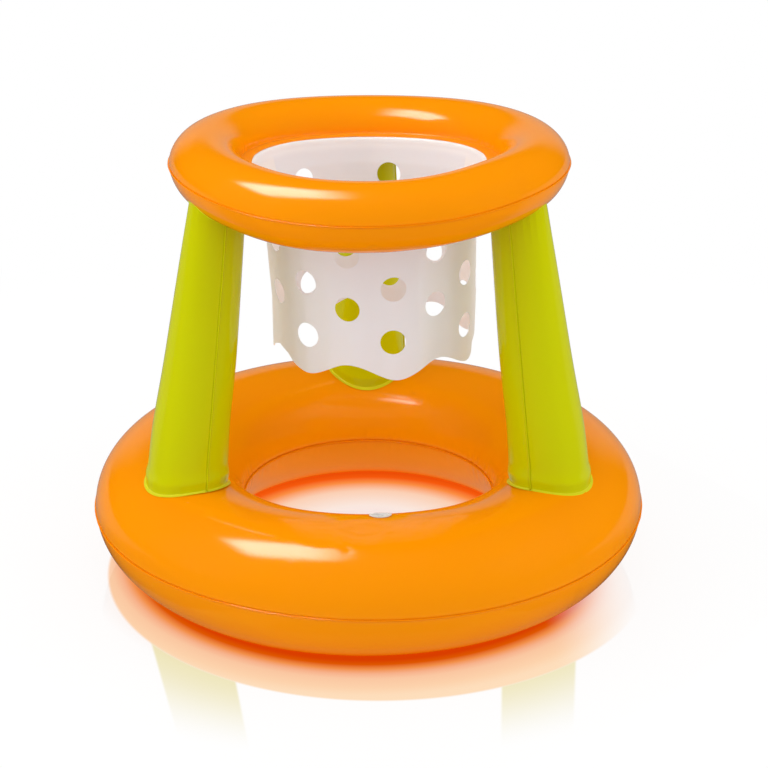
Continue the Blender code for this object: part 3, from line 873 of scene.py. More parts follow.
@dataclass
class InflatedRing:
    """A ring of two film panels, welded together round its outer and inner side."""

    name: str
    tube: Tube
    film: bpy.types.Material
    weld: WeldSweep
    columns: int
    rows: int
    inner_band: float

    def relief(self, azimuth: np.ndarray, angle: np.ndarray, points: np.ndarray) -> np.ndarray:
        """How far the film stands out of its plain shape. Rings add their own marks to this."""
        outer = hump(np.sin(angle / 2), 0.075)
        inner = hump(np.cos(angle / 2), 0.10)
        puckers = 0.00011 * outer * waver(azimuth, range(80, 130), 3)
        puckers = puckers + 0.00022 * inner * waver(azimuth, range(60, 100), 4)
        sway = 0.0006 * waver(azimuth, range(2, 8), 5) * np.sin(angle) ** 2
        return puckers + sway

    def panel(self, upper: bool) -> bpy.types.Object:
        """Makes the upper or the lower film panel.

        Args:
            upper: Which of the two.

        Returns:
            The panel, not yet cut or handed over.
        """
        side = 1 if upper else -1
        azimuth = np.linspace(0, TURN, self.columns, endpoint=False)[None, :]
        share = np.linspace(0, 1, self.rows)[:, None]
        angle = side * (0.004 + (math.pi - 0.008) * share)
        points = self.tube.place(azimuth, angle)
        points = points + self.tube.normal(azimuth, angle) * self.relief(azimuth, angle, points)[..., None]
        points[..., 2] = self.flatten(points[..., 2])
        weld = np.clip(hump(np.sin(angle / 2), 0.020) + hump(np.cos(angle / 2), 0.020), 0, 1)
        weld = np.broadcast_to(weld, points.shape[:2])
        if self.inner_band > FILM.fin:
            band = self.band_rows(azimuth, side, points[-1])
            points = np.concatenate([points, band])
            weld = np.concatenate([weld, np.ones(band.shape[:2])])
        if not upper:
            points, weld = points[::-1], weld[::-1]
        label = f"{self.name}_{'upper' if upper else 'lower'}_skin"
        piece = new_piece(label, grid_mesh(label, points, True, {"weld": weld}), self.film)
        give_wall(piece, FILM.thickness)
        return piece

    def flatten(self, height: np.ndarray) -> np.ndarray:
        """Keeps the film on or above what the hoop rests on."""
        return np.maximum(height, 0.0)

    def band_rows(self, azimuth: np.ndarray, side: int, edge: np.ndarray) -> np.ndarray:
        """The flat inner weld band, from the tube's inner edge inwards."""
        first = self.tube.radius - self.tube.half_width
        aside, up = self.tube.shift(azimuth[0], np.array(math.pi))
        level = self.tube.height + up + side * (FILM.seam_lift + FILM.thickness / 2)
        rows = []
        for share in np.linspace(0.06, 1, 9):
            out = first - share * self.inner_band
            sag = 0.0003 * share * waver(azimuth[0], range(5, 30), 9)
            joined = 1 - hump(np.array(share), 0.2)
            height = level + sag + (edge[:, 2] - level) * (1 - joined)
            across, along = out * np.cos(azimuth[0]) + aside, out * np.sin(azimuth[0])
            rows.append(np.stack([across, along, height], axis=-1))
        return np.array(rows)

    def seam(self, label: str, out: float, width: float) -> bpy.types.Object:
        """The pressed edge of a weld, swept round the ring.

        Args:
            label: The piece's name.
            out: Distance of the bead's middle from the axis.
            width: The bead's width across the weld.

        Returns:
            The bead.
        """
        azimuth = np.linspace(0, TURN, self.columns, endpoint=False)
        wide = np.stack([np.cos(azimuth), np.sin(azimuth), np.zeros_like(azimuth)], axis=-1)
        aside, up = self.tube.shift(azimuth, np.array(0.0 if out > self.tube.radius else math.pi))
        points = wide * out
        points[:, 0] += aside
        points[:, 2] = self.tube.height + up
        mesh = path_mesh(label, points, True, {"wide": wide})
        return self.weld.grow(
            label,
            mesh,
            width=width,
            height=FILM.bead_height,
            waviness=FILM.waviness,
            material=self.film,
        )


@dataclass
class RimRing(InflatedRing):
    """The ring at the top, fuller at its left inner side and low at its front."""

    swellings: tuple[Swelling, ...] = (
        Swelling(0.0026, 180, 0.60, 140, 0.60),
        Swelling(0.0022, -92, 0.45, -68, 0.60),
    )

    def relief(self, azimuth: np.ndarray, angle: np.ndarray, points: np.ndarray) -> np.ndarray:
        """The plain unevenness and the two fuller places."""
        marks = sum(swelling.at(azimuth, angle) for swelling in self.swellings)
        return super().relief(azimuth, angle, points) + marks


@dataclass
class BaseRing(InflatedRing):
    """The wide ring that floats, with the marks that its valve and the legs leave on it."""

    hollows: tuple[Swelling, ...] = (
        Swelling(-0.0028, -122, 0.35, 112, 0.45),
        Swelling(-0.0028, -56, 0.30, 112, 0.45),
    )
    shoulder_height: float = 0.0012
    shoulder_degrees: float = 35
    dent_place: tuple[float, float] = (-92.1, 82.0)
    creases: tuple[tuple[tuple[tuple[float, float], ...], float, float], ...] = (
        (((-97.0, 68.5), (-95.0, 59.0)), 0.0030, -0.0008),
        (((-109.9, 68.0), (-108.0, 55.0), (-107.0, 46.0)), 0.0060, -0.0004),
        (((-143.5, 67.0), (-135.3, 72.4), (-129.3, 75.0), (-119.6, 73.0)), 0.0028, 0.0005),
    )

    def relief(self, azimuth: np.ndarray, angle: np.ndarray, points: np.ndarray) -> np.ndarray:
        """The plain unevenness, a dent by the valve, and creases from the dent and the left foot."""
        dent = self.tube.place(*np.radians(self.dent_place))
        gap = np.linalg.norm(points - dent, axis=-1)
        marks = -0.0016 * hump(gap, 0.017) + 0.0005 * hump(gap - 0.030, 0.012)
        marks = marks + sum(hollow.at(azimuth, angle) for hollow in self.hollows)
        marks = marks + self.shoulder_height * hump(apart(angle, self.shoulder_degrees), 0.45)
        for line, width, depth in self.creases:
            degrees = np.radians(np.array(line))
            route = self.tube.place(degrees[:, 0], degrees[:, 1])
            marks = marks + depth * hump(distance_to_line(points, route), width)
        return super().relief(azimuth, angle, points) + marks


@dataclass
class LegForm:
    """Shape of a tapered leg that leans in from the base ring to the rim ring."""

    degrees: float
    foot_offset: float
    foot_half_radial: float
    foot_half_tangential: float = 0.0514
    head_offset: float = 0.0004
    head_margin: float = 0.0063
    head_half_tangential: float = 0.0260

    def __post_init__(self) -> None:
        """Works out the leg's directions and its two ends."""
        turn = math.radians(self.degrees)
        self.outward = np.array([math.cos(turn), math.sin(turn), 0.0])
        self.sideways = np.array([-math.sin(turn), math.cos(turn), 0.0])
        head_half_radial = RIM_TUBE.half_width - self.head_margin
        self.foot_height = BASE_TUBE.height + BASE_TUBE.rise(self.foot_half_radial)
        self.head_height = RIM_TUBE.height - RIM_TUBE.rise(head_half_radial)
        foot_out = BASE_TUBE.radius + self.foot_offset
        head_out = RIM_TUBE.radius + self.head_offset
        self.foot_sizes = np.array([foot_out, self.foot_half_radial, self.foot_half_tangential])
        self.head_sizes = np.array([head_out, head_half_radial, self.head_half_tangential])

    def section(self, height: np.ndarray) -> np.ndarray:
        """Distance of the leg's middle from the axis, and its two half widths, at a height."""
        share = (height - self.foot_height) / (self.head_height - self.foot_height)
        return self.foot_sizes + (self.head_sizes - self.foot_sizes) * np.asarray(share)[..., None]

    def place(self, side: np.ndarray, height: np.ndarray, grown: np.ndarray | float = 0.0) -> np.ndarray:
        """A point of the wall at an angle round the leg, 0 at its outer side."""
        sizes = self.section(height)
        out = sizes[..., 0] + (sizes[..., 1] + grown) * np.cos(side)
        across = (sizes[..., 2] + grown) * np.sin(side)
        point = out[..., None] * self.outward + across[..., None] * self.sideways
        point[..., 2] = height
        return point

    def level(self, point: np.ndarray) -> np.ndarray:
        """Below zero inside the leg, above zero outside it."""
        sizes = self.section(point[..., 2])
        across = (point @ self.outward - sizes[..., 0]) / sizes[..., 1]
        return across**2 + (point @ self.sideways / sizes[..., 2]) ** 2 - 1

    def end_height(self, tube: Tube, sign: int, side: np.ndarray, grown: float, lift: float) -> np.ndarray:
        """Height at which the wall, moved out by a band, meets a tube's film.

        Args:
            tube: The ring that the leg stands on or carries.
            sign: 1 for the foot on top of its ring, -1 for the head under its ring.
            side: Angles round the leg.
            grown: How far the band reaches out of the wall.
            lift: The gap that the band keeps to the tube.

        Returns:
            The heights.
        """
        height = np.full_like(side, tube.height + sign * tube.half_height)
        angle = np.full_like(side, sign * math.pi / 2)
        for _ in range(24):
            point = self.place(side, height, grown)
            aside, up = tube.shift(np.arctan2(point[..., 1], point[..., 0]), angle)
            offset = np.hypot(point[..., 0] - aside, point[..., 1]) - tube.radius
            rise = sign * tube.rise(offset, lift)
            height = tube.height + up + rise
            angle = np.arctan2(rise / tube.half_height, offset / tube.half_width)
        return height


@dataclass
class InflatedLeg:
    """A leg of two film panels, welded down its sides and turned out at foot and head."""

    name: str
    form: LegForm
    film: bpy.types.Material
    weld: WeldSweep
    seed: int
    corner_degrees: float
    columns: int = 72
    rows: int = 150
    foot_band: float = 0.0030
    head_band: float = 0.0020
    foot_lift: float = 0.0004
    head_lift: float = -0.0008

    def flare(self, side: np.ndarray) -> np.ndarray:
        """How far the foot stands out at the corner that faces the hoop's inside."""
        return 0.0030 * hump(apart(side, self.corner_degrees), 0.35)

    def relief(self, side: np.ndarray, share: np.ndarray) -> np.ndarray:
        """How far the wall stands out: soft upright folds, and puckers at foot and head.

        Args:
            side: Angles round the leg.
            share: Height up the wall, from 0 at the foot to 1 at the head.

        Returns:
            The relief in metres.
        """
        folds = waver(side, range(3, 9), self.seed) * 0.0004 * np.sin(math.pi * share) ** 0.5
        foot = hump(share, 0.06) * waver(side, range(18, 34), self.seed + 1) * 0.00018
        head = hump(1 - share, 0.07) * waver(side, range(14, 28), self.seed + 2) * 0.00018
        pinch = -0.0004 * hump(np.cos(side), 0.12)
        belly = 0.0010 * np.sin(math.pi * share) + 0.0026 * np.cos(side) * hump(share - 0.2, 0.17)
        belly = belly + 0.0016 * hump(share - 0.035, 0.022) + self.flare(side) * hump(share, 0.05)
        return folds + foot + head + pinch + belly

    def panel(self, outer: bool) -> bpy.types.Object:
        """Makes the outer or the inner film panel.

        Args:
            outer: Which of the two.

        Returns:
            The panel, not yet cut or handed over.
        """
        half = math.pi / 2 - 0.006
        middle = 0.0 if outer else math.pi
        side = np.linspace(middle - half, middle + half, self.columns)
        foot = self.form.end_height(BASE_TUBE, 1, side, self.flare(side), self.foot_lift)
        head = self.form.end_height(RIM_TUBE, -1, side, 0.0, self.head_lift)
        rows, welds = [], []
        bend = 0.0008
        for share in (1.0, 0.85, 0.6, 0.35, 0.12):
            grown = self.foot_band * share + self.flare(side)
            height = self.form.end_height(BASE_TUBE, 1, side, grown, self.foot_lift)
            rows.append(self.form.place(side, height, grown))
            welds.append(np.ones_like(side))
        steps = np.linspace(0, 1, self.rows)
        for share in 0.4 * steps + 0.3 * (1 - np.cos(math.pi * steps)):
            height = foot + bend + (head - foot - 2 * bend) * share
            out = self.relief(side, np.full_like(side, share))
            rows.append(self.form.place(side, height, out))
            seam = 0.5 * hump(np.cos(side), 0.05)
            welds.append(np.clip(seam + hump(share, 0.002), 0, 1))
        for share in (0.3, 1.0):
            grown = self.head_band * share
            height = self.form.end_height(RIM_TUBE, -1, side, grown, self.head_lift)
            rows.append(self.form.place(side, height, grown))
            welds.append(np.ones_like(side))
        label = f"{self.name}_{'outer' if outer else 'inner'}_skin"
        mesh = grid_mesh(label, np.array(rows), False, {"weld": np.array(welds)})
        piece = new_piece(label, mesh, self.film)
        give_wall(piece, FILM.thickness)
        return piece

    def seam(self, label: str, sign: int) -> bpy.types.Object:
        """The pressed edge of a side weld, swept from foot to head.

        Args:
            label: The piece's name.
            sign: 1 or -1, for the side of the leg.

        Returns:
            The bead.
        """
        side = np.array([sign * math.pi / 2])
        low = self.form.end_height(BASE_TUBE, 1, side, self.flare(side), self.foot_lift)[0]
        high = self.form.end_height(RIM_TUBE, -1, side, 0.0, self.head_lift)[0]
        share = np.linspace(0, 1, 90)
        height = low + 0.0008 + (high - low - 0.0016) * share
        angles = np.full_like(height, side[0])
        points = self.form.place(angles, height, self.relief(angles, share) + FILM.side_bead_lift)
        wide = np.broadcast_to(self.form.sideways, points.shape)
        mesh = path_mesh(label, points, False, {"wide": wide})
        return self.weld.grow(
            label,
            mesh,
            width=FILM.side_bead_width,
            height=FILM.side_bead_height,
            waviness=FILM.side_waviness,
            material=self.film,
        )


@dataclass
class PunchedNet:
    """The net: one sheet, bent over the rim's inner band, punched, with a scalloped lower edge."""

    finish: bpy.types.Material
    thickness: float = 0.0004
    hem_lap: float = 0.0110
    shoulder: float = 0.0020
    shoulder_drop: float = 0.0060
    draw_in: float = 0.0142
    taper: float = 0.0010
    length: float = 0.2105
    sway: float = 0.0075
    wave: float = 0.0092
    lobes: int = 7
    first_lobe_degrees: float = -78.4
    inner_band: float = 0.0150
    hole_radius: float = 0.0145
    hole_spacing: float = 0.0639
    hole_stagger: float = 0.0395
    hole_rise: float = 0.0364
    hole_columns: int = 14
    hole_rows: int = 3
    hole_count: int = 35
    hole_top_margin: float = 0.0100
    punch_depth: float = 0.024
    wide_top: float = 0.02
    hole_first_degrees: float = -30.9
    hole_pitch_degrees: float = 24.8
    even_gaps: int = 10
    columns: int = 336
    rows: int = 80

    def __post_init__(self) -> None:
        """Takes the band's inner edge, which the sheet hangs from, and the radius of the sheet's wall."""
        self.edge = RIM_TUBE.radius - RIM_TUBE.half_width - self.inner_band
        self.wall_radius = self.edge - self.draw_in

    def drawn_share(self, share: np.ndarray) -> np.ndarray:
        """How far the sheet has drawn in, down its wall."""
        return np.interp(share, (0.0, 0.12, 0.38, 0.70, 1.0), (0.0, 0.45, 0.85, 1.0, 1.0))

    def sheet(self) -> bpy.types.Object:
        """Makes the sheet with its wall, before it is punched."""
        azimuth = np.linspace(0, TURN, self.columns, endpoint=False)
        top = RIM_TUBE.height - 0.0009
        rows, fold, warm = [], [], []
        aside, up = RIM_TUBE.shift(azimuth, np.array(math.pi))

        def add(out: np.ndarray | float, drop: np.ndarray | float, sway: float, top_light_share: float) -> None:
            """Adds a row of the sheet, whose top follows the rim."""
            held = hump(np.array(drop), 0.055)
            x = sway + out * np.cos(azimuth) + aside * held
            y = out * np.sin(azimuth)
            rows.append(np.stack([x, y, top - drop + up * held], axis=-1))
            # Painted light: a share that makes the bent top and the hem paler.
            fold.append(np.full_like(azimuth, top_light_share))
            # Painted bounce light on the left and right sides, not on the rear.
            bounce_share = hump(np.abs(np.cos(azimuth)) - 0.93, 0.16) * (np.sin(azimuth) < 0.5)
            warm.append(bounce_share * (1 - top_light_share))

        for share in np.linspace(0, 1, 5):
            add(self.edge + self.hem_lap * (1 - share), 0.0, 0.0, 1.0)
        for share in np.linspace(0.15, 1, 6):
            turn = share * math.pi / 2
            out = self.edge - self.shoulder * math.sin(turn)
            add(out, self.shoulder_drop * (1 - math.cos(turn)), 0.0, 1.0 if share < 0.9 else 0.7)
        wall_drop = self.length - self.shoulder_drop
        hem = self.wave * np.cos(self.lobes * (azimuth - math.radians(self.first_lobe_degrees)))
        for share in np.linspace(0.015, 1, self.rows):
            drawn = self.drawn_share(share) * (self.draw_in - self.shoulder) + self.taper * share**4
            sag = 0.0011 * waver(azimuth, range(3, 12), 21) * share**0.7
            sag = sag + 0.0005 * waver(azimuth, range(14, 30), 22) * share
            out = self.edge - self.shoulder - drawn + sag
            drop = self.shoulder_drop + wall_drop * share + hem * share**6
            add(out, drop, self.sway * min(share / 0.7, 1.0), max(0.0, 1 - share / 0.045))
        numbers = {"fold": np.array(fold)[::-1], "warm": np.array(warm)[::-1]}
        mesh = grid_mesh("net_sheet_plain", np.array(rows)[::-1], True, numbers)
        piece = new_piece("net_sheet_plain", mesh, self.finish)
        give_wall(piece, self.thickness)
        return settled(piece)

    def build(self) -> bpy.types.Object:
        """Returns:
            The net.
        """
        plain = self.sheet()
        mesh = plain.data.copy()
        discard(plain)
        net = NetPunch().grow(
            "net_hanging_sheet",
            mesh,
            columns=self.hole_columns,
            rows=self.hole_rows,
            even_gaps=self.even_gaps,
            first_column=math.radians(self.hole_first_degrees),
            pitch=math.radians(self.hole_pitch_degrees),
            lowest=RIM_TUBE.height - self.length + self.hole_rise,
            spacing=self.hole_spacing,
            stagger=self.hole_stagger,
            ceiling=RIM_TUBE.height - self.shoulder_drop - self.hole_top_margin - self.hole_radius,
            wall_radius=self.wall_radius,
            sway=self.sway,
            hole_radius=self.hole_radius,
            depth=self.punch_depth,
            material=self.finish,
        )
        net.data.shade_smooth()
        net.data.set_sharp_from_angle(angle=math.radians(40))
        hand_over(net, Body.HOOP.value, Slot.NET, "net_sheet")
        outside = self.edge + self.hem_lap
        width, length = TURN * outside, self.length + self.hem_lap + self.wave
        holes = self.hole_count * math.pi * self.hole_radius**2
        wall, top = self.length - self.wide_top, self.hem_lap + self.wide_top
        area = TURN * (self.wall_radius * wall + outside * top) - holes
        return net


@dataclass
class AirValve:
    """A push-in air valve: a seat welded to the film, a stem with its flap, and a plug on a strap."""

    name: str
    surface: Tube | LegForm
    finish: bpy.types.Material
    knurl: FlangeKnurl
    flange_radius: float = 0.0130
    wall: float = 0.0006
    dish_radius: float = 0.0092
    dish_depth: float = 0.0045
    sleeve_length: float = 0.0045
    stem_radius: float = 0.0050
    stem_bore: float = 0.0026
    stem_travel: float = 0.0100
    lip_radius: float = 0.0078
    lip_height: float = 0.0012
    collar_overhang: float = 0.0009
    collar_height: float = 0.0010
    clearance: float = 0.0003
    flap_radius: float = 0.0040
    flap_height: float = 0.0004
    plug_radius: float = 0.0048
    plug_height: float = 0.0012
    pin_length: float = 0.0038
    strap_width: float = 0.0030
    strap_height: float = 0.0008
    hinge_inset: float = 0.0006

    def __post_init__(self) -> None:
        """Takes the valve's place from the frame's joints."""
        joints = {joint["name"]: joint for joint in frame["joints"]}
        up = Vector(joints[f"{self.name}_valve_slide"]["axis"]).normalized()
        hinge = joints[f"{self.name}_plug_hinge"]
        side = Vector(hinge["axis"]).normalized()
        level = side.cross(up)
        self.hinge_out = self.lip_radius - self.hinge_inset
        self.lip_top = -self.dish_depth + self.clearance + self.lip_height
        self.hinge_up = self.lip_top + self.clearance + self.strap_height / 2
        origin = Vector(hinge["pos_m"]) - level * self.hinge_out - up * self.hinge_up
        turned = Matrix((level, side, up)).transposed()
        self.matrix = Matrix.Translation(origin) @ turned.to_4x4()

    def drape(self, flat: np.ndarray) -> np.ndarray:
        """Height of the film over points of the valve's own plane, by halving."""
        matrix = np.array(self.matrix)
        base = flat @ matrix[:3, :2].T + matrix[:3, 3]
        low = np.full(len(flat), -self.flange_radius)
        high = -low
        for _ in range(30):
            middle = (low + high) / 2
            inside = self.surface.level(base + middle[:, None] * matrix[:3, 2]) < 0
            low, high = np.where(inside, middle, low), np.where(inside, high, middle)
        return (low + high) / 2

    def place(self, piece: bpy.types.Object, part: str, mover: str = "") -> bpy.types.Object:
        """Moves a piece's mesh from the valve's own axes to the frame and hands it over.

        Args:
            piece: The piece.
            part: The part of the valve that it stands for.
            mover: The moving part that it rides on. A piece without one rides on the hoop.

        Returns:
            The piece.
        """
        piece.data.transform(self.matrix)
        body = f"{self.name}_valve_{mover}" if mover else Body.HOOP.value
        return hand_over(piece, body, Slot.CLEAR, f"{self.name}_valve_{part}")

    def turned_piece(self, part: str, outline: list, steps: int, closed: bool) -> bpy.types.Object:
        """A turned piece of the valve, in the valve's own axes."""
        label = f"{self.name}_{part}"
        return new_piece(label, lathe_mesh(label, outline, steps, closed), self.finish)

    def hole(self) -> bpy.types.Object:
        """The cutter for the film under the valve."""
        outline = [(0, -0.012), (self.dish_radius + self.wall + self.clearance, -0.012)]
        outline += [(out, -height) for out, height in reversed(outline)]
        cutter = new_piece(f"{self.name}_valve_hole", lathe_mesh("hole", outline, 48, False))
        cutter.data.transform(self.matrix)
        return cutter

    def seat(self) -> None:
        """Makes the seat, whose flange lies on the film, and its ring of pressed ribs."""
        angle = np.linspace(0, TURN, 64, endpoint=False)
        ring = np.stack([np.cos(angle), np.sin(angle)], axis=-1)
        sleeve = self.stem_radius + self.clearance
        rows = []
        for share in (0.0, 0.02, 0.2, 0.4, 0.6, 0.8, 1.0):
            out = self.flange_radius + (self.dish_radius - self.flange_radius) * share
            edge = 0.0004 if share == 0 else 0.0
            height = self.drape(ring * out) + self.clearance + self.wall - edge
            rows.append(np.column_stack([ring * out, height]))
        floor = self.lip_radius + self.clearance
        top = self.drape(ring * self.dish_radius) + self.clearance + self.wall
        for share in (0.15, 0.5, 0.85, 1.0):
            out = self.dish_radius + (floor - self.dish_radius) * share
            rows.append(np.column_stack([ring * out, top + (-self.dish_depth - top) * share]))
        end = -self.dish_depth - self.sleeve_length
        soft = 0.0004
        bore = ((sleeve + soft, -self.dish_depth), (sleeve, -self.dish_depth - soft), (sleeve, end))
        for out, height in bore:
            rows.append(np.column_stack([ring * out, np.full_like(angle, height)]))
        label = f"{self.name}_seat_moulding"
        piece = new_piece(label, grid_mesh(label, np.array(rows), True, {}), self.finish)
        give_wall(piece, self.wall)
        settled(piece)
        piece.data.set_sharp_from_angle(angle=math.radians(50))
        self.place(piece, "seat")
        self.ribs()

    def ribs(self) -> None:
        """Makes the short ribs that the weld's electrode presses into the flange."""
        angle = np.linspace(0, TURN, 40, endpoint=False)
        ring = np.stack([np.cos(angle), np.sin(angle)], axis=-1)
        out = (self.flange_radius + self.dish_radius) / 2
        height = self.drape(ring * out) + self.clearance + self.wall
        outer = self.drape(ring * (out + 0.001))
        inner = self.drape(ring * (out - 0.001))
        along = np.column_stack([ring, (outer - inner) / 0.002])
        up = np.tile((0.0, 0.0, 1.0), (len(angle), 1))
        mesh = path_mesh("ribs", np.column_stack([ring * out, height]), True, {"along": along, "up": up})
        label = f"{self.name}_flange_ribs"
        piece = self.knurl.grow(label, mesh, length=0.0026, width=0.0007, height=0.0005, material=self.finish)
        piece.data.transform(self.matrix)
        hand_over(piece, Body.HOOP.value, Slot.CLEAR)

    def stem(self) -> None:
        """Makes the sliding stem with its rounded lip and its stop collar."""
        collar_top = -self.dish_depth - self.sleeve_length - self.clearance - self.stem_travel
        bottom = collar_top - self.collar_height
        floor = -self.dish_depth + self.clearance
        collar = self.stem_radius + self.clearance + self.collar_overhang
        soft = 0.0003
        outline = [
            (self.lip_radius - soft, self.lip_top),
            (self.lip_radius, self.lip_top - soft),
            (self.lip_radius, floor + soft),
            (self.lip_radius - soft, floor),
            (self.stem_radius, floor),
            (self.stem_radius, collar_top),
            (collar, collar_top),
            (collar, bottom + soft),
            (collar - soft, bottom),
            (self.stem_bore, bottom),
            (self.stem_bore, self.lip_top - soft),
            (self.stem_bore + soft, self.lip_top),
        ]
        self.place(self.turned_piece("stem_moulding", outline, 48, True), "stem", "stem")
        below = bottom - self.clearance
        thick = self.flap_height
        disc = [(0, below), (self.flap_radius, below), (self.flap_radius, below - thick), (0, below - thick)]
        self.place(self.turned_piece("check_flap", disc, 40, False), "flap", "stem")

    def plug(self) -> None:
        """Makes the plug: a domed head, a tapered pin, a pull tab, and a strap with a thin hinge."""
        floor = self.lip_top + self.clearance
        strap_middle = self.strap_height / 2
        corner = math.hypot(self.hinge_out + self.stem_bore, self.clearance + strap_middle)
        tip = math.sqrt(corner**2 - (strap_middle + self.pin_length) ** 2) - self.hinge_out - 0.0003
        top = floor + self.plug_height
        outline = [
            (0, top + 0.0002),
            (self.plug_radius * 0.5, top + 0.00015),
            (self.plug_radius * 0.85, top),
            (self.plug_radius, top - 0.0003),
            (self.plug_radius, floor + 0.0001),
            (self.plug_radius - 0.0001, floor),
            (self.stem_bore - 0.00015, floor),
            (tip + 0.0002, floor - self.pin_length + 0.0006),
            (tip - 0.0002, floor - self.pin_length),
            (0, floor - self.pin_length),
        ]
        piece = self.turned_piece("plug_moulding", outline, 48, False)
        half = self.strap_width / 2
        reach = -self.plug_radius - 0.0021
        stations = (
            (reach, 0.4 * half, 0.3),
            (reach + 0.0004, 0.8 * half, 0.7),
            (-self.plug_radius, half, 0.8),
            (self.plug_radius - 0.0004, half, 1.0),
            (self.hinge_out - 0.0008, half, 0.8),
            (self.hinge_out - 0.0003, half, 0.4),
            (self.hinge_out, half, 0.4),
        )
        loops = []
        for x, wide, share in stations:
            high = floor + self.strap_height * share
            loops.append(((x, -wide, floor), (x, wide, floor), (x, wide, high), (x, -wide, high)))
        helper = new_piece("strap_helper", loft_mesh("strap", loops))
        join = piece.modifiers.new("strap", "BOOLEAN")
        join.operation = "UNION"
        join.solver = "EXACT"
        join.object = helper
        settled(piece)
        discard(helper)
        piece.data.shade_smooth()
        piece.data.set_sharp_from_angle(angle=math.radians(38))
        piece.data.materials.clear()
        piece.data.materials.append(self.finish)
        self.place(piece, "plug", "plug")

    def build(self) -> None:
        """Makes all the valve's pieces."""
        self.seat()
        self.stem()
        self.plug()


# Studio


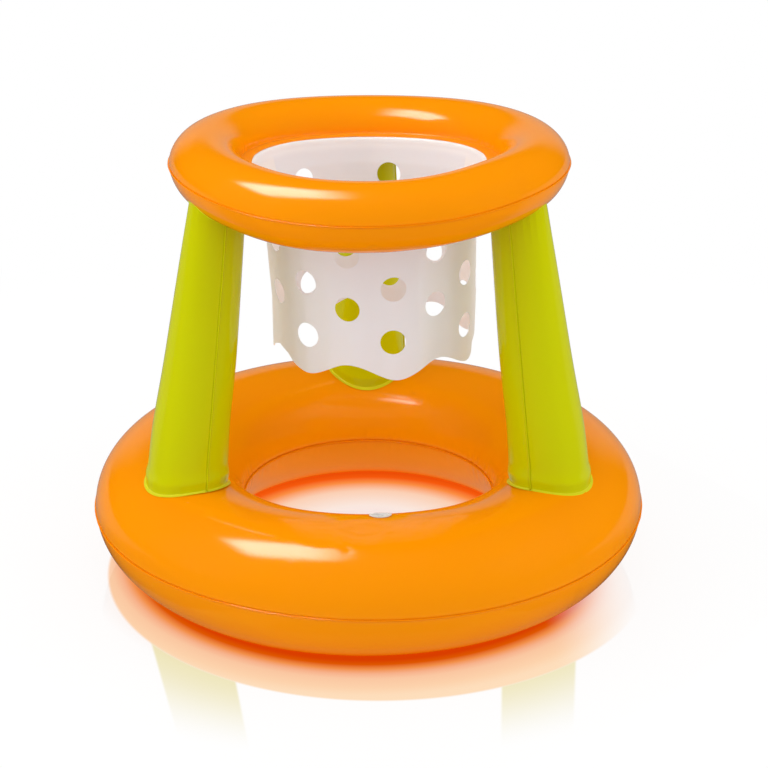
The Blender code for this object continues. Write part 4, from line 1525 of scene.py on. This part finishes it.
@dataclass(frozen=True)
class Studio:
    """The camera, the lamps, the glossy white floor and the surroundings."""

    camera_place: tuple[float, float, float] = (-0.01869, -2.1536, 1.0979)
    camera_pitch: float = 0.3877
    camera_yaw_degrees: float = -1.0
    focal_pixels: float = 1924.56
    image_pixels: int = 768
    softbox_place: tuple[float, float, float] = (-0.58, -0.12, 1.5)
    softbox_strength: float = 22.0
    soft_lamps: tuple[tuple[str, tuple[float, float, float], float, float], ...] = (
        ("overhead_lamp", (-0.7, -0.4, 2.4), 2.2, 7.0),
        ("left_lamp", (-1.9, -0.5, 1.2), 1.6, 12.5),
        ("right_lamp", (1.9, -0.4, 1.2), 1.6, 9.0),
    )
    sky: float = 0.97
    screen_brightness: float = 0.38
    floor_size: float = 24.0
    floor_white: float = 0.88
    floor_lift: float = 0.92
    # Brightness of the floor in the film's reflections, in front and behind: a painted glow.
    floor_glow_in_reflections: tuple[float, float] = (0.05, 0.30)
    contact_radius: float = 0.2439
    # Middle and radius of the painted pool of orange light on the floor.
    painted_pool_middle: tuple[float, float] = (0.012, -0.034)
    painted_pool_radius: float = 0.331
    painted_pool_gone_right: tuple[float, float] = (0.20, 0.32)
    painted_pool_unmirrored: float = 0.8
    mirror_roughness: float = 0.03
    fade_reach: float = 0.30
    mirror_fade: tuple[tuple[float, float], ...] = (
        (-0.150, 0.22),
        (-0.030, 0.22),
        (0.030, 0.06),
        (0.095, 0.06),
        (0.115, 0.0),
    )
    # The painted reflections of the left and right legs on the floor.
    painted_reflection_share: float = 0.62
    painted_reflection_line: float = -0.33
    painted_reflection_colour: tuple[float, float, float, float] = (0.78, 0.68, 0.22, 1.0)
    painted_leg_reflections: tuple[tuple[tuple[float, float], ...], ...] = (
        ((-0.2295, -0.236), (-0.1462, -0.158)),
        ((0.1401, 0.080), (0.2243, 0.127)),
    )
    # Colours of the painted pool of light and the painted contact shadow, by distance from the contact line.
    painted_pool_fade: tuple[tuple[float, tuple[float, float, float, float]], ...] = (
        (-0.150, (1.00, 1.00, 1.00, 0.0)),
        (-0.127, (1.00, 0.98, 0.93, 1.0)),
        (-0.082, (1.00, 0.77, 0.58, 1.0)),
        (-0.056, (1.00, 0.33, 0.07, 1.0)),
        (-0.040, (0.95, 0.12, 0.005, 1.0)),
        (-0.010, (0.75, 0.05, 0.00, 1.0)),
        (0.036, (0.70, 0.050, 0.00, 1.0)),
        (0.046, (0.74, 0.100, 0.00, 1.0)),
        (0.056, (0.90, 0.290, 0.07, 1.0)),
        (0.066, (0.94, 0.470, 0.28, 1.0)),
        (0.076, (0.97, 0.600, 0.38, 1.0)),
        (0.096, (0.99, 0.680, 0.44, 1.0)),
        (0.110, (0.99, 0.730, 0.50, 1.0)),
    )

    def camera(self) -> None:
        """Sets the camera at the photograph's viewing angle."""
        data = bpy.data.cameras.new("camera")
        data.sensor_width = 36.0
        data.lens = self.focal_pixels * data.sensor_width / self.image_pixels
        camera = bpy.data.objects.new("camera", data)
        camera.location = self.camera_place
        camera.rotation_euler = (math.pi / 2 - self.camera_pitch, 0, math.radians(self.camera_yaw_degrees))
        bpy.context.scene.collection.objects.link(camera)
        bpy.context.scene.camera = camera

    def lamp(self, name: str, place: tuple, size: tuple, power: float) -> bpy.types.Object:
        """A rectangular lamp that faces the hoop.

        Args:
            name: The lamp's name.
            place: Where it hangs.
            size: Its width and height.
            power: Its power in watts.

        Returns:
            The lamp.
        """
        data = bpy.data.lights.new(name, "AREA")
        data.shape = "RECTANGLE"
        data.size, data.size_y = size
        data.energy = power
        lamp = bpy.data.objects.new(name, data)
        lamp.location = place
        aim = Vector((0, 0, 0.25)) - Vector(place)
        lamp.rotation_euler = aim.to_track_quat("-Z", "Y").to_euler()
        lamp.visible_camera = False
        bpy.context.scene.collection.objects.link(lamp)
        return lamp

    def lamps(self, floor: bpy.types.Object) -> None:
        """Hangs a soft lamp overhead, one on each side, and the floor's glow."""
        for name, place, size, power in self.soft_lamps:
            self.lamp(name, place, (size, size), power).visible_glossy = False
        glow = self.lamp("floor_glow", (0, 0, 9.0), (120.0, 120.0), 1.0)
        glow.rotation_euler = (0, 0, 0)
        glow.data.energy = math.pi * glow.data.size * glow.data.size_y
        glow.visible_diffuse = False
        lit = bpy.data.collections.new("lit_by_glow")
        lit.objects.link(floor)
        glow.light_linking.receiver_collection = lit

    def softbox(self) -> None:
        """Hangs the soft-edged panel that shows as the highlights on the film, and lights nothing else."""
        mesh = bpy.data.meshes.new("softbox")
        mesh.from_pydata([(0.6, -0.5, 0), (-0.6, -0.5, 0), (-0.6, 0.5, 0), (0.6, 0.5, 0)], [], [(0, 1, 2, 3)])
        tree = FinishTree("softbox_glow")
        across, along, _ = tree.parts(tree.place())
        wide = tree.ramp(across, -0.50, -0.26) * (1 - tree.ramp(across, 0.18, 0.54))
        deep = tree.ramp(along, -0.40, -0.16) * (1 - tree.ramp(along, 0.14, 0.34))
        finish = tree.output(tree.glow(WHITE, wide * deep * self.softbox_strength))
        softbox = new_piece("softbox", mesh, finish)
        softbox.location = self.softbox_place
        for kind in ("camera", "diffuse", "transmission", "volume_scatter", "shadow"):
            setattr(softbox, f"visible_{kind}", False)

    def floor(self) -> bpy.types.Object:
        """Lays the floor: white, glossy enough to mirror the hoop softly."""
        half = self.floor_size / 2
        mesh = bpy.data.meshes.new("floor")
        corners = [(-half, -half, 0), (half, -half, 0), (half, half, 0), (-half, half, 0)]
        mesh.from_pydata(corners, [], [(0, 1, 2, 3)])
        floor = new_piece("floor", mesh, self.floor_finish())
        floor.location.z = -0.0006
        return floor

    def floor_finish(self) -> bpy.types.Material:
        """The floor's material: a matt white that keeps the shadow, under a mirror that fades.

        Where the hoop touches it, a pool of the orange light that comes through the film is painted on
        the floor, with a dark orange painted contact shadow.
        """
        tree = FinishTree("glossy_white_floor")
        camera, through, glossy, diffuse = tree.rays("Camera", "Transmission", "Glossy", "Diffuse")
        across, along, _ = tree.parts(tree.place())
        gap = tree.math("SQRT", across * across + along * along) - self.contact_radius
        matt = tree.node("ShaderNodeBsdfDiffuse", None, {"Color": (0.86, 0.86, 0.86, 1.0)})
        straight = tree.math("MAXIMUM", camera, through)
        pale = tree.math("MAXIMUM", straight * self.floor_white, diffuse * self.floor_lift)
        pale = tree.math("MAXIMUM", pale, straight * tree.ramp(gap, 0.4, 1.0))
        near, far = self.floor_glow_in_reflections
        # Painted reflection: to glossy rays the floor is a glow, dim in front and brighter behind.
        reflected_floor_glow = tree.glow(WHITE, tree.ramp(along, -0.05, 0.20) * (far - near) + near)
        floor = tree.mix(glossy, tree.mix(pale, matt, tree.glow(WHITE)), reflected_floor_glow)
        # Painted light and shade: an orange pool and a dark orange contact shadow round where the base
        # stands.
        middle_x, middle_y = self.painted_pool_middle
        aside, ahead = across - middle_x, along - middle_y
        beyond = tree.math("SQRT", aside * aside + ahead * ahead) - self.painted_pool_radius
        outside = tree.ramp(beyond, -0.002, 0.003)
        away = tree.ramp(tree.math("ABSOLUTE", gap), 0.035, 0.075) * self.painted_pool_unmirrored
        painted_pool = self.by_gap(tree, gap, self.painted_pool_fade)
        share = Value(tree, painted_pool.outputs[1]) * (1 - outside) * (1 - glossy * away)
        share = share * (1 - tree.ramp(across, *self.painted_pool_gone_right))
        floor = tree.mix(share, floor, tree.glow(painted_pool.outputs[0]))
        # Painted reflection: lime streaks where the left and right legs would mirror in the floor.
        painted_reflection_mask = outside * (1 - tree.ramp(gap, 0.10, 0.24)) * (1 - tree.ramp(along, -0.2, 0.0))
        left, right = (self.band(tree, across, along, edges) for edges in self.painted_leg_reflections)
        floor = tree.mix(painted_reflection_mask * self.painted_reflection_share * (left + right), floor, tree.glow(self.painted_reflection_colour))
        mirror = tree.node("ShaderNodeBsdfGlossy", None, {"Color": WHITE, "Roughness": self.mirror_roughness})
        fade = self.by_gap(tree, gap, [(out, (level,) * 3 + (1.0,)) for out, level in self.mirror_fade])
        return tree.output(tree.mix(camera * Value(tree, fade.outputs[0]), floor, mirror))

    def by_gap(self, tree: Tree, gap: Value, stops: Iterable[tuple[float, tuple]]) -> bpy.types.Node:
        """A ramp of colours over the distance from the line where the base stands.

        Args:
            tree: The floor's material.
            gap: The distance, below zero inside that line.
            stops: Distances and their colours.

        Returns:
            The ramp's node.
        """
        stops = [(0.5 + out / self.fade_reach, colour) for out, colour in stops]
        return tree.node("ShaderNodeValToRGB", {"stops": stops}, {0: 0.5 + gap / self.fade_reach})

    def band(self, tree: Tree, across: Value, along: Value, edges: tuple) -> Value:
        """1 between two straight edges on the floor, 0 outside them.

        Args:
            tree: The floor's material.
            across: The place along X.
            along: The place along Y.
            edges: Each edge's place where Y is that of the line of the painted leg reflections, and how far
                it moves with Y.

        Returns:
            The share.
        """
        past = [across - (along - self.painted_reflection_line) * slope - start for start, slope in edges]
        return tree.ramp(past[0], 0.0, 0.004) * (1 - tree.ramp(past[1], -0.004, 0.0))

    def surroundings(self) -> None:
        """Makes a white background, a soft sky for the object, and a bright screen behind it."""
        world = bpy.data.worlds.new("studio")
        bpy.context.scene.world = world
        world.use_nodes = True
        tree = Tree(world.node_tree)
        camera, through, glossy = tree.rays("Camera", "Transmission", "Glossy")
        _, back, high = tree.parts(tree.node("ShaderNodeTexCoord").outputs["Generated"])
        screen = tree.ramp(back, 0.80, 0.94) * (1 - tree.ramp(high, 0.28, 0.40))
        plain = self.sky + glossy * (screen * self.screen_brightness - self.sky)
        strength = plain + tree.math("MAXIMUM", camera, through) * (1.0 - plain)
        shade = tree.node("ShaderNodeBackground", None, {"Color": WHITE, "Strength": strength})
        tree.node("ShaderNodeOutputWorld", None, {"Surface": shade.outputs[0]})

    def build(self) -> None:
        """Sets up the whole studio."""
        bpy.context.scene.view_settings.view_transform = "Standard"
        self.camera()
        self.surroundings()
        self.softbox()
        self.lamps(self.floor())
        LOG.info("the studio is ready")


# Object


class FloatingHoop:
    """The whole hoop, built in the order in which its parts are welded together."""

    LEGS = {
        "left": (LegForm(208, -0.0027, 0.0467), 100),
        "right": (LegForm(331, -0.0027, 0.0467), -105),
        "rear": (LegForm(90, -0.0062, 0.0502, head_half_tangential=0.0340), 0),
    }

    def __init__(self) -> None:
        """Makes the finishes and the geometry trees that the parts share."""
        self.orange = InflatedFilm("orange_vinyl_film", (0.93, 0.282, 0.0002), (0.94, 0.290, 0.003)).build()
        self.lime = InflatedFilm("lime_vinyl_film", (0.545, 0.560, 0.0002), (0.66, 0.64, 0.008)).build()
        self.frost = FrostedSheet().build()
        self.clear = ClearMoulding().build()
        self.weld = WeldSweep()
        self.knurl = FlangeKnurl()

    def ring(self, ring: InflatedRing, valve: AirValve, valve_in_upper: bool, inner_bead: bool) -> None:
        """Makes a ring's panels, its weld beads and its valve.

        Args:
            ring: The ring.
            valve: Its valve.
            valve_in_upper: Whether the valve sits in the upper panel.
            inner_bead: Whether the inner weld has a bead rather than a band.
        """
        hole = valve.hole()
        for upper in (True, False):
            panel = ring.panel(upper)
            if upper == valve_in_upper:
                drill(panel, hole)
            settled(panel)
            node = f"{ring.name}_{'upper' if upper else 'lower'}_film"
            hand_over(panel, Body.HOOP.value, Slot.ORANGE, node)
        discard(hole)
        tube = ring.tube
        reach = tube.half_width + FILM.fin / 2 - FILM.bead_set_in
        seams = [(f"{ring.name}_outer_weld", reach, FILM.outer_bead_width)]
        if inner_bead:
            seams.append((f"{ring.name}_inner_weld", -reach, FILM.inner_bead_width))
        for label, offset, width in seams:
            hand_over(ring.seam(label, tube.radius + offset, width), Body.HOOP.value, Slot.ORANGE)
        valve.build()

    def leg(self, side: str, form: LegForm, corner_degrees: float, seed: int) -> None:
        """Makes a leg's panels, its side welds and its valve.

        Args:
            side: The leg's name.
            form: Its shape and place.
            corner_degrees: Where round it the foot stands out most.
            seed: Fixes its folds.
        """
        name = f"leg_{side}"
        leg = InflatedLeg(name, form, self.lime, self.weld, seed, corner_degrees)
        valve = AirValve(name, form, self.clear, self.knurl)
        hole = valve.hole()
        for outer in (True, False):
            panel = leg.panel(outer)
            if not outer:
                drill(panel, hole)
            settled(panel)
            hand_over(panel, Body.HOOP.value, Slot.LIME, f"{name}_{'outer' if outer else 'inner'}_film")
        discard(hole)
        for label, sign in (("first", 1), ("second", -1)):
            hand_over(leg.seam(f"{name}_{label}_side_weld", sign), Body.HOOP.value, Slot.LIME)
        valve.build()

    def build(self) -> None:
        """Makes the rings, the legs and the net."""
        base = BaseRing("base", BASE_TUBE, self.orange, self.weld, 480, 80, FILM.fin)
        self.ring(base, AirValve("base", BASE_TUBE, self.clear, self.knurl), True, True)
        rim = RimRing("rim", RIM_TUBE, self.orange, self.weld, 420, 56, 0.0150)
        self.ring(rim, AirValve("rim", RIM_TUBE, self.clear, self.knurl), False, False)
        for seed, (side, (form, corner_degrees)) in enumerate(self.LEGS.items()):
            self.leg(side, form, corner_degrees, 40 + 7 * seed)
        PunchedNet(self.frost).build()


def main() -> None:
    """Builds the studio and the hoop, and reports each piece."""
    logging.basicConfig(level=logging.INFO, format="%(name)s: %(message)s")
    Studio().build()
    FloatingHoop().build()


if __name__ == "__main__":
    main()
